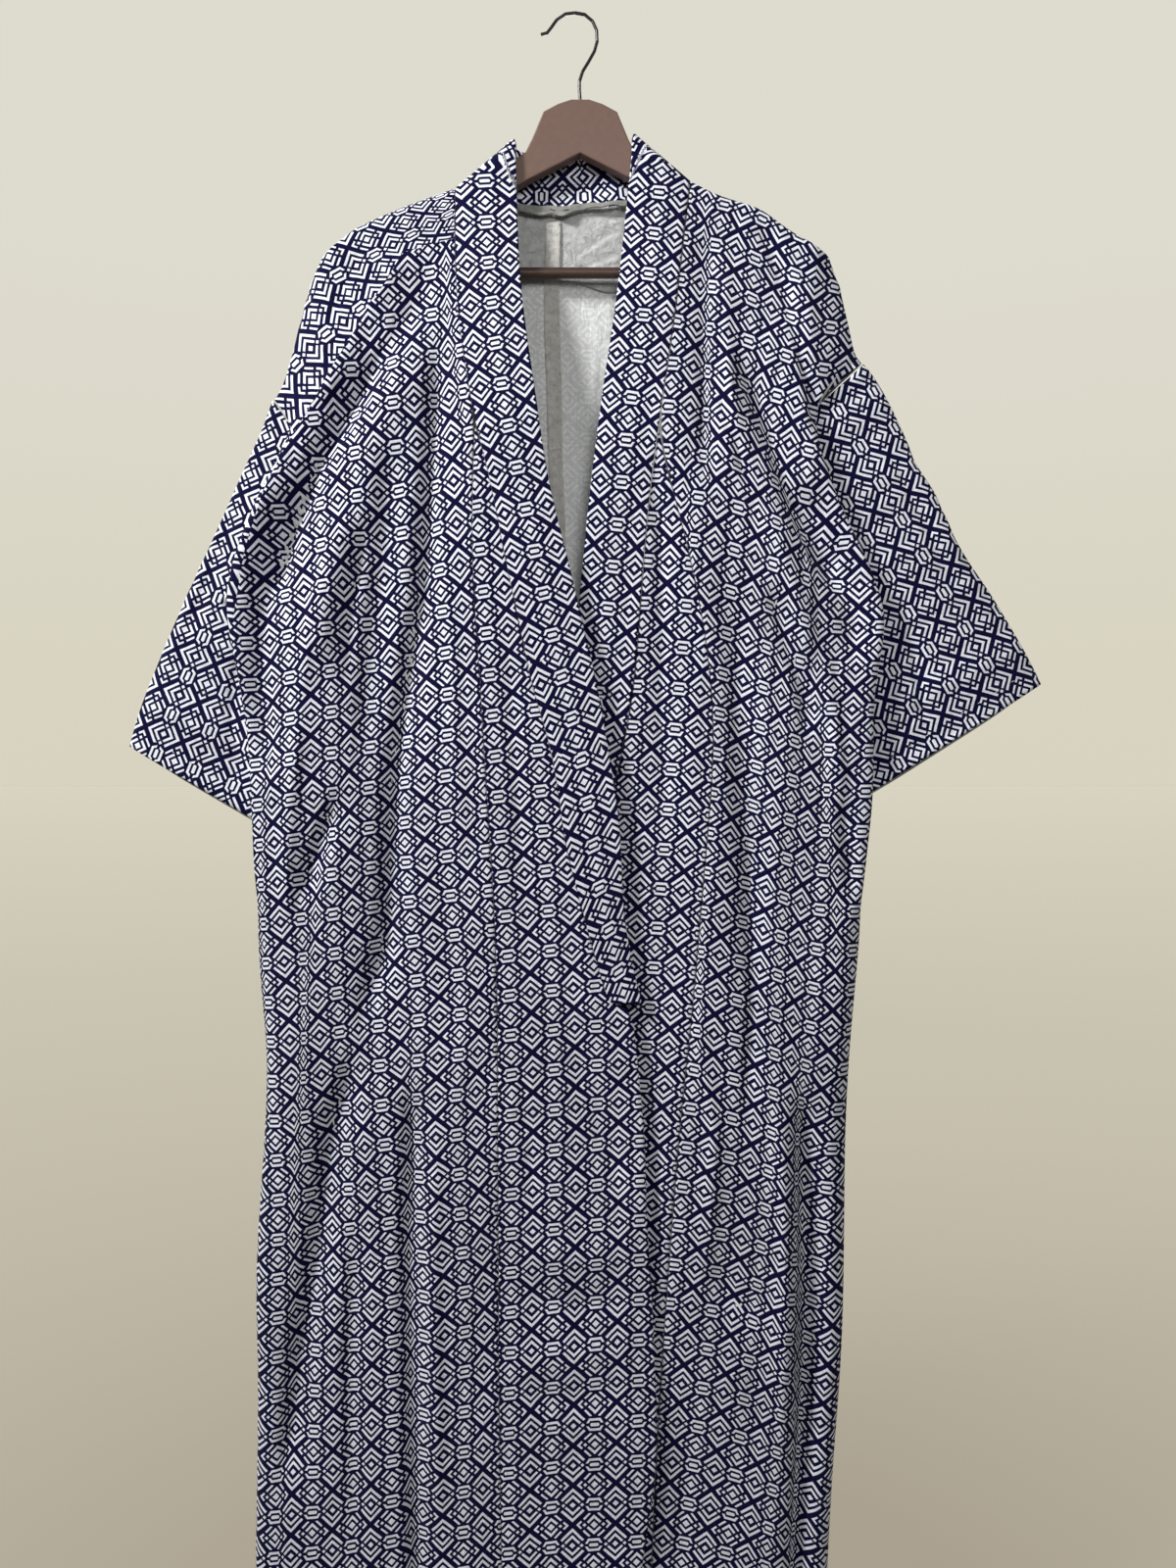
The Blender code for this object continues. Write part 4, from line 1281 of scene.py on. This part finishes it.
@dataclass
class Surface:
    """Finds the cloth's surface from a place between the front and the back."""

    shells: list[bpy.types.Object]

    def __post_init__(self) -> None:
        """Prepares the search trees."""
        self.trees = [
            BVHTree.FromPolygons([v.co for v in s.data.vertices], [p.vertices for p in s.data.polygons])
            for s in self.shells
        ]

    def hit(self, x: float, start: float, z: float, way: int) -> float | None:
        """Depth in mm of the first surface met along Y.

        Args:
            x: Place across, mm.
            start: Depth that the search starts from, mm.
            z: Level, mm.
            way: 1 to look backwards, -1 to look forwards.

        Returns:
            The depth, or None where nothing is met.
        """
        origin, ray = Vector((x, start, z)) * MM, Vector((0.0, way, 0.0))
        found = [tree.ray_cast(origin, ray, 0.2)[0] for tree in self.trees]
        depths = [place.y / MM for place in found if place is not None]
        return min(depths, key=lambda depth: abs(depth - start)) if depths else None


@dataclass
class InnerFinish:
    """Seam allowances and stitches of the robe, inside the back and along its edges.

    Attributes:
        seam: Level and place of the centre-back seam.
        neck: Place and level of the neck seam round the back.
        band_half: Half width of the pressed centre-back allowance, mm.
        band_profile: Its places across, as shares of that, and how far each stands off, mm.
        stitch_pitch: Distance between two blind stitches, mm.
        hem_line: Level of the hem's stitches, mm.
        cuff_turn: Distance of the cuffs' stitches from their edge, mm.
    """

    seam: Run = ((-1505, -16), (-900, -14), (-548, -12), (-422, -16), (-244, -21), (-171, -19))
    neck: Run = ((-84, -166), (-56, -170), (-19, -171), (8, -170), (34, -167), (62, -163), (84, -159))
    band_half: float = 6.6
    band_profile: Run = ((-1.0, 1.1), (-0.94, 1.5), (-0.5, 1.4), (0.0, 1.1), (0.5, 1.4), (0.94, 1.5),
                         (1.0, 1.1))
    stitch_pitch: float = 17.0
    hem_line: float = -1478.0
    cuff_turn: float = 15.0

    def centre_band(self, surface: Surface) -> Strip:
        """Lays out the centre-back seam allowance, pressed open over the seam.

        Args:
            surface: Inside of the back and of the lining.

        Returns:
            The strip.
        """
        rows = []
        for z in np.arange(-1490.0, -176.0, 12.0):
            x = float(np.interp(z, [p[0] for p in self.seam], [p[1] for p in self.seam]))
            row = []
            for share, lift in self.band_profile:
                wave = 0.5 * math.sin(z / 47.0 + share) + 0.3 * math.sin(z / 19.0)
                place = x + share * self.band_half + wave
                depth = surface.hit(x + 4.0 * (1 if share >= 0 else -1), 0.0, z, 1) or 16.0
                row.append((place, depth - lift + 0.25 * wave, z))
            rows.append(row)
        return Strip("centre_back_allowance", rows, (0.0135, 1.315))

    def neck_roll(self, surface: Surface) -> Strip:
        """Lays out the neck seam's allowance, rolled and uneven above the lining.

        Args:
            surface: Inside of the back.

        Returns:
            The strip.
        """
        rows = []
        for x in np.arange(-82.0, 82.5, 3.0):
            level = float(np.interp(x, [p[0] for p in self.neck], [p[1] for p in self.neck]))
            depth = surface.hit(x if abs(x + 19.0) > 2.0 else x + 4.0, 0.0, level - 9.0, 1) or 13.0
            wave = 1.6 * math.sin(x / 5.3) + 1.3 * math.sin(x / 9.1 + 1.7) + 0.9 * math.sin(x / 3.1 + 0.6)
            drop = 1.7 * math.sin(x / 10.7 + 0.4) + 1.3 * math.sin(x / 4.7) + 0.7 * math.sin(x / 2.9 + 2.0)
            # It thins out to the viewer's right
            full = 1.0 - 0.45 * float(smooth_step(-8.0, 24.0, np.float64(x)))
            rows.append([
                (x, depth - 3.6, level + 2.5 + 0.4 * drop), (x, depth - 4.4 + 0.4 * wave, level - 1.5),
                (x, depth - 5.4 + 0.6 * wave, level + full * (-5.0 + 0.6 * drop)),
                (x, depth - 7.0 + 0.7 * wave, level + full * (-8.0 + drop)),
                (x, depth - 8.2 + 0.6 * wave, level + full * (-6.2 + drop)),
                (x, depth - 7.4 + 0.4 * wave, level + full * (-4.6 + drop)),
            ])
        return Strip("neck_allowance", rows, (0.015, 0.166))

    def _stitch(self, surface: Surface, places: list[Point], way: int) -> list[list[tuple]]:
        """Lays one stitch on the cloth.

        Args:
            surface: Cloth that it lies on.
            places: Its places across and levels, mm.
            way: 1 on the front, -1 on the back.

        Returns:
            The stitch, or nothing where it misses the cloth.
        """
        depths = [surface.hit(x, -90.0 * way, z, way) for x, z in places]
        if None in depths:
            return []
        return [[(x, depth - 0.12 * way, z) for (x, z), depth in zip(places, depths)]]

    def hem_stitches(self, surface: Surface) -> Threads:
        """Sews the hem's turn-up with blind stitches, front and back.

        Args:
            surface: Outside of the robe.

        Returns:
            The stitches.
        """
        runs = []
        for x in np.arange(-276.0, 216.0, self.stitch_pitch):
            for way in (1, -1):
                places = [(x + step, self.hem_line) for step in (0.0, 1.2, 2.4)]
                runs += self._stitch(surface, places, way)
        return Threads("hem_stitches", 0.32, runs)

    def cuff_stitches(self, surface: Surface) -> Threads:
        """Sews both cuffs' turn-ups with blind stitches, front and back.

        Args:
            surface: Outside of the sleeves.

        Returns:
            The stitches.
        """
        runs = []
        for start, end, inward in (
            ((-396.0, -657.0), (-236.0, -750.0), (0.385, 0.923)),
            ((415.0, -602.0), (246.0, -708.0), (-0.5, 0.866)),
        ):
            count = int(math.dist(start, end) / self.stitch_pitch)
            for index in range(1, count):
                for way in (1, -1):
                    places = [
                        tuple(a + (index / count + step) * (b - a) + self.cuff_turn * c
                              for a, b, c in zip(start, end, inward))
                        for step in (0.0, 0.006, 0.012)
                    ]
                    runs += self._stitch(surface, places, way)
        return Threads("cuff_stitches", 0.32, runs)

    def loose_threads(self, surface: Surface) -> Threads:
        """Lays bits of navy thread that are caught in the neck's allowance.

        Args:
            surface: Inside of the back.

        Returns:
            The stitches.
        """
        runs = []
        for x, level, length, turn in ((-29, -171, 6, 0.3), (-22, -174, 5, -0.6), (-15, -172, 7, 0.9),
                                       (-9, -175, 4, -0.2), (31, -172, 5, 0.5)):
            depth = (surface.hit(x, 0.0, level - 6.0, 1) or 13.0) - 8.2
            runs.append([
                (x + length * t, depth - 0.6 * math.sin(3 * t), level + length * turn * t * (1 - 0.6 * t))
                for t in (0.0, 0.33, 0.66, 1.0)
            ])
        return Threads("neck_threads", 0.4, runs)

    def build(self, shells: dict[str, bpy.types.Object]) -> list[bpy.types.Object]:
        """Builds the allowances and the stitches.

        Args:
            shells: Finished cloth pieces by node.

        Returns:
            The new pieces.
        """
        bodies = Surface([shells["body_left"], shells["body_right"]])
        inside = Surface([shells[n] for n in ("body_left", "body_right", "shoulder_lining")])
        outside = Surface([shells[n] for n in ("body_left", "body_right", "overlap_left", "overlap_right")])
        sleeves = Surface([shells["sleeve_left"], shells["sleeve_right"]])
        white = ThreadFinish().material()
        navy = ThreadFinish(name="navy_polyester_thread", colour="#1d1c5a", deep="#15143f").material()
        return [
            self.centre_band(inside).build(LiningCotton("pressed_cotton_tape", "#e9e7df").material()),
            # The neck allowance is the lining's cotton painted darker, as painted shade where it rolls into
            # the neck
            self.neck_roll(bodies).build(
                LiningCotton("raw_cut_cotton_edge_painted_shade", "#b6b5ae", dents=260.0, crumple=5.0).material()
            ),
            self.hem_stitches(outside).build(white), self.cuff_stitches(sleeves).build(white),
            self.loose_threads(bodies).build(navy),
        ]


@dataclass
class Robe:
    """The printed robe, its lining and its inner finish."""

    right_side: PrintedCotton = PrintedCotton()
    wrong_side: PrintedCotton = PrintedCotton(
        name="printed_cotton_wrong_side", ink="#b4b8be", ground="#f7f8f4", print_strength=0.3,
        dent_size=9.0, dent_depth=1.6,
    )
    lining: LiningCotton = LiningCotton()

    def cloth_pieces(self, white: bpy.types.Material) -> list[ClothPiece]:
        """The cut pieces, each with its flat size, its lay and its creases.

        Args:
            white: Finish of the lining.

        Returns:
            The pieces, from the bodies to the lining.
        """
        cloth = (self.right_side.material(), self.wrong_side.material())
        left = {Facing.FRONT: Lay((-101.0, -574.0), LEFT_SLOPES, LEFT_LEANS, FRONT_CROWD, LEFT_TUCKS),
                Facing.BACK: BACK_LAY}
        right = {Facing.FRONT: Lay((140.0, -560.0), RIGHT_SLOPES, RIGHT_LEANS, FRONT_CROWD, RIGHT_TUCKS),
                 Facing.BACK: BACK_LAY}
        left_folds = {Facing.FRONT: LEFT_CREASES, Facing.BACK: BACK_CREASES}
        right_folds = {Facing.FRONT: RIGHT_CREASES, Facing.BACK: BACK_CREASES}
        over = {Facing.FRONT: Lay((-17.0, -1010.0), LEFT_SLOPES, LEFT_STRIP_LEANS, FRONT_CROWD)}
        under = {Facing.FRONT: Lay((20.0, -990.0), RIGHT_SLOPES, RIGHT_LEANS, FRONT_CROWD)}
        left_arm = {Facing.FRONT: TurnedLay((-330.0, -560.0), -112.6)}
        right_arm = {Facing.FRONT: TurnedLay((330.0, -520.0), -60.0)}
        left_arm_folds = {Facing.FRONT: LEFT_SLEEVE_CREASES, Facing.BACK: LEFT_SLEEVE_CREASES}
        right_arm_folds = {Facing.FRONT: RIGHT_SLEEVE_CREASES, Facing.BACK: RIGHT_SLEEVE_CREASES}
        return [
            ClothPiece("body_left", (0.30, 2.72), left, left_folds, cloth, levels=2, refine_front=True,
                       side=-1, cap=FanLay((-0.6, -123.7), (-210.0, -238.5)), cap_line=LEFT_CAP_LINE,
                       area=0.666),
            ClothPiece("body_right", (0.30, 2.72), right, right_folds, cloth, levels=2,
                       refine_front=True, side=1, area=0.591),
            ClothPiece("overlap_left", (0.13, 1.13), over, {Facing.FRONT: LEFT_CREASES}, cloth,
                       area=0.106, rests_on=("overlap_right_cloth",)),
            ClothPiece("overlap_right", (0.17, 1.13), under, {Facing.FRONT: RIGHT_CREASES}, cloth,
                       area=0.141),
            CollarPiece("collar", (0.057, 1.72), {}, {Facing.FRONT: LEFT_CREASES}, cloth[:1], area=0.094,
                        strip=StripLay(COLLAR_SECTIONS, (0.0, 29.5)), right_creases=RIGHT_CREASES),
            ClothPiece("sleeve_left", (0.35, 0.24), left_arm, left_arm_folds, cloth, area=0.059),
            ClothPiece("sleeve_right", (0.36, 0.28), right_arm, right_arm_folds, cloth, area=0.0825),
            ClothPiece("shoulder_lining", (0.172, 0.075), left, {Facing.BACK: LINING_CREASES}, (white,),
                       slot="white_cotton", area=0.0115),
        ]

    def build(self) -> list[bpy.types.Object]:
        """Builds every cloth piece and the inner finish.

        Returns:
            The pieces.
        """
        white = self.lining.material()
        shells = {}
        for piece in self.cloth_pieces(white):
            shell = piece.build()
            area = sum(p.area for p in shell.data.polygons) / 2
            log.info("%s: %d faces, %.4f square metres", piece.node, len(shell.data.polygons), area)
            shells[piece.node] = shell
        finish = InnerFinish().build(shells)
        return list(shells.values()) + finish


@dataclass(frozen=True)
class Lamp:
    """Round soft light.

    Attributes:
        name: Name of the light.
        place: Where it stands, metres.
        aim: What it points at, metres.
        size: Width of its disk, metres.
        power: Its power, watts.
    """

    name: str
    place: tuple[float, float, float]
    aim: tuple[float, float, float]
    size: float
    power: float

    def build(self) -> None:
        """Adds the light to the scene."""
        data = bpy.data.lights.new(self.name, "AREA")
        data.shape = "DISK"
        data.size = self.size
        data.energy = self.power
        lamp = bpy.data.objects.new(self.name, data)
        lamp.location = self.place
        ray = Vector(self.aim) - Vector(self.place)
        lamp.rotation_euler = ray.to_track_quat("-Z", "Y").to_euler()
        bpy.context.scene.collection.objects.link(lamp)


@dataclass
class Studio:
    """Pale floor and surroundings, soft light and the camera.

    Attributes:
        backdrop: Tone of the wall behind the robe, high up.
        wall_foot: Its tone at eye level, and that of the far floor.
        floor_near: Tone of the floor under the robe.
        room: Tone of the room in front.
        floor_tone: Own colour of the floor's paper.
        floor_lift: Strength of the light that it gives off.
        floor_level: Its level, metres.
        floor_half: Half of its side, metres.
        sweep: Distances over which the floor grows paler, metres, and the share where it starts.
        wall_rise: Height of the wall's change of tone, as the rise of the way to it.
        room_turn: Where the room turns into the wall, as the depth of the way to it.
        camera_place: Where the camera stands, metres.
        picture_height: Height of the picture at the robe, metres.
        lamps: The lights.
    """

    backdrop: str = "#dedbcf"
    wall_foot: str = "#d8d3c0"
    floor_near: str = "#a79d8b"
    room: str = "#5c5c5b"
    floor_tone: str = "#3a3935"
    floor_lift: float = 0.91
    floor_level: float = -1.515
    floor_half: float = 400.0
    sweep: tuple[float, float, float] = (1.3, 1.1, 0.85)
    wall_rise: float = 0.42
    room_turn: Point = (-0.3, 0.45)
    camera_place: tuple[float, float, float] = (0.0123, -1.100, -0.6908)
    picture_height: float = 1.408
    lamps: tuple[Lamp, ...] = (
        Lamp("key", (-1.45, -1.0, 0.8), (0.0, 0.0, -0.6), 0.45, 54.0),
        Lamp("fill", (0.4, -2.2, 0.3), (0.0, 0.0, -0.5), 0.9, 17.0),
        Lamp("rear", (0.5, 2.4, 0.5), (0.0, 0.0, -0.7), 1.2, 24.0),
    )

    def paper(self) -> bpy.types.Material:
        """Builds the floor's finish, which glows as painted light, dimmer near the robe and paler with its
        distance.

        Returns:
            The material.
        """
        made, tree, shader = blank_material("backdrop_paper_painted_light")
        shader.inputs["Base Color"].default_value = linear_colour(self.floor_tone)
        shader.inputs["Roughness"].default_value = 0.95
        near, base, start = self.sweep
        spot = add_node(tree, "TexCoord")
        reach = add_node(tree, "VectorMath", {0: spot.outputs["Object"]}, operation="LENGTH")
        further = add_node(tree, "Math", {0: reach.outputs["Value"], 1: base}, operation="ADD")
        nearness = add_node(tree, "Math", {0: near, 1: further.outputs[0]}, operation="DIVIDE")
        share = add_node(tree, "MapRange", {0: nearness.outputs[0], 1: 0.0, 2: start})
        # Painted light: the floor glows, lifting the far floor to the tone of the wall that it runs into
        lit = add_node(tree, "Mix", {0: share.outputs[0], 6: linear_colour(self.wall_foot),
                                     7: linear_colour(self.floor_near)}, data_type="RGBA")
        tree.links.new(lit.outputs[2], shader.inputs["Emission Color"])
        shader.inputs["Emission Strength"].default_value = self.floor_lift
        return made

    def floor(self) -> None:
        """Adds the floor."""
        mesh = bpy.data.meshes.new("floor")
        shape = bmesh.new()
        bmesh.ops.create_grid(shape, x_segments=4, y_segments=4, size=self.floor_half)
        shape.to_mesh(mesh)
        shape.free()
        mesh.materials.append(self.paper())
        floor = bpy.data.objects.new("floor", mesh)
        floor.location = (0.0, 0.0, self.floor_level)
        bpy.context.scene.collection.objects.link(floor)
        # The lifted floor must not light the robe from below
        floor.visible_diffuse = False

    def surroundings(self) -> None:
        """Adds the wall behind the robe, dimmer near the floor, and the darker room in front."""
        world = bpy.data.worlds.new("soft_room")
        world.use_nodes = True
        tree = world.node_tree
        background = tree.nodes["Background"]
        look = add_node(tree, "TexCoord")
        split = add_node(tree, "SeparateXYZ", {0: look.outputs["Generated"]})
        height = add_node(tree, "MapRange", {0: split.outputs[2], 1: 0.0, 2: self.wall_rise},
                          interpolation_type="SMOOTHSTEP")
        wall = add_node(tree, "Mix", {0: height.outputs[0], 6: linear_colour(self.wall_foot),
                                      7: linear_colour(self.backdrop)}, data_type="RGBA")
        share = add_node(tree, "MapRange", {0: split.outputs[1], 1: self.room_turn[0],
                                            2: self.room_turn[1]}, interpolation_type="SMOOTHSTEP")
        above = add_node(tree, "MapRange", {0: split.outputs[2], 1: -0.06, 2: 0.0})
        pale_side = add_node(tree, "Math", {0: share.outputs[0], 1: above.outputs[0]},
                             operation="MULTIPLY")
        tone = add_node(tree, "Mix", {0: pale_side.outputs[0], 6: linear_colour(self.room),
                                      7: wall.outputs[2]}, data_type="RGBA")
        tree.links.new(tone.outputs[2], background.inputs["Color"])
        background.inputs["Strength"].default_value = 1.0
        bpy.context.scene.world = world

    def camera(self) -> None:
        """Adds the camera, which looks along +Y."""
        data = bpy.data.cameras.new("camera")
        data.sensor_width = 36.0
        data.lens = data.sensor_width * -self.camera_place[1] / self.picture_height
        data.clip_start = 0.01
        data.dof.use_dof = False
        camera = bpy.data.objects.new("camera", data)
        camera.location = self.camera_place
        camera.rotation_euler = (math.pi / 2, 0.0, 0.0)
        bpy.context.scene.collection.objects.link(camera)
        bpy.context.scene.camera = camera

    def build(self) -> None:
        """Builds the floor, the surroundings, the lights and the camera."""
        bpy.context.scene.view_settings.view_transform = "Standard"
        self.floor()
        self.surroundings()
        for lamp in self.lamps:
            lamp.build()
        self.camera()


def main() -> None:
    """Builds the pieces, logging their sizes, dresses the hanger and builds the studio."""
    logging.basicConfig(level=logging.INFO, format="%(message)s")
    robe = Robe().build()
    for piece in robe:
        log.info("built %s", piece.name)
    Hanger().dress()
    log.info("dressed the hanger")
    Studio().build()
    log.info("built the studio")


if __name__ == "__main__":
    main()
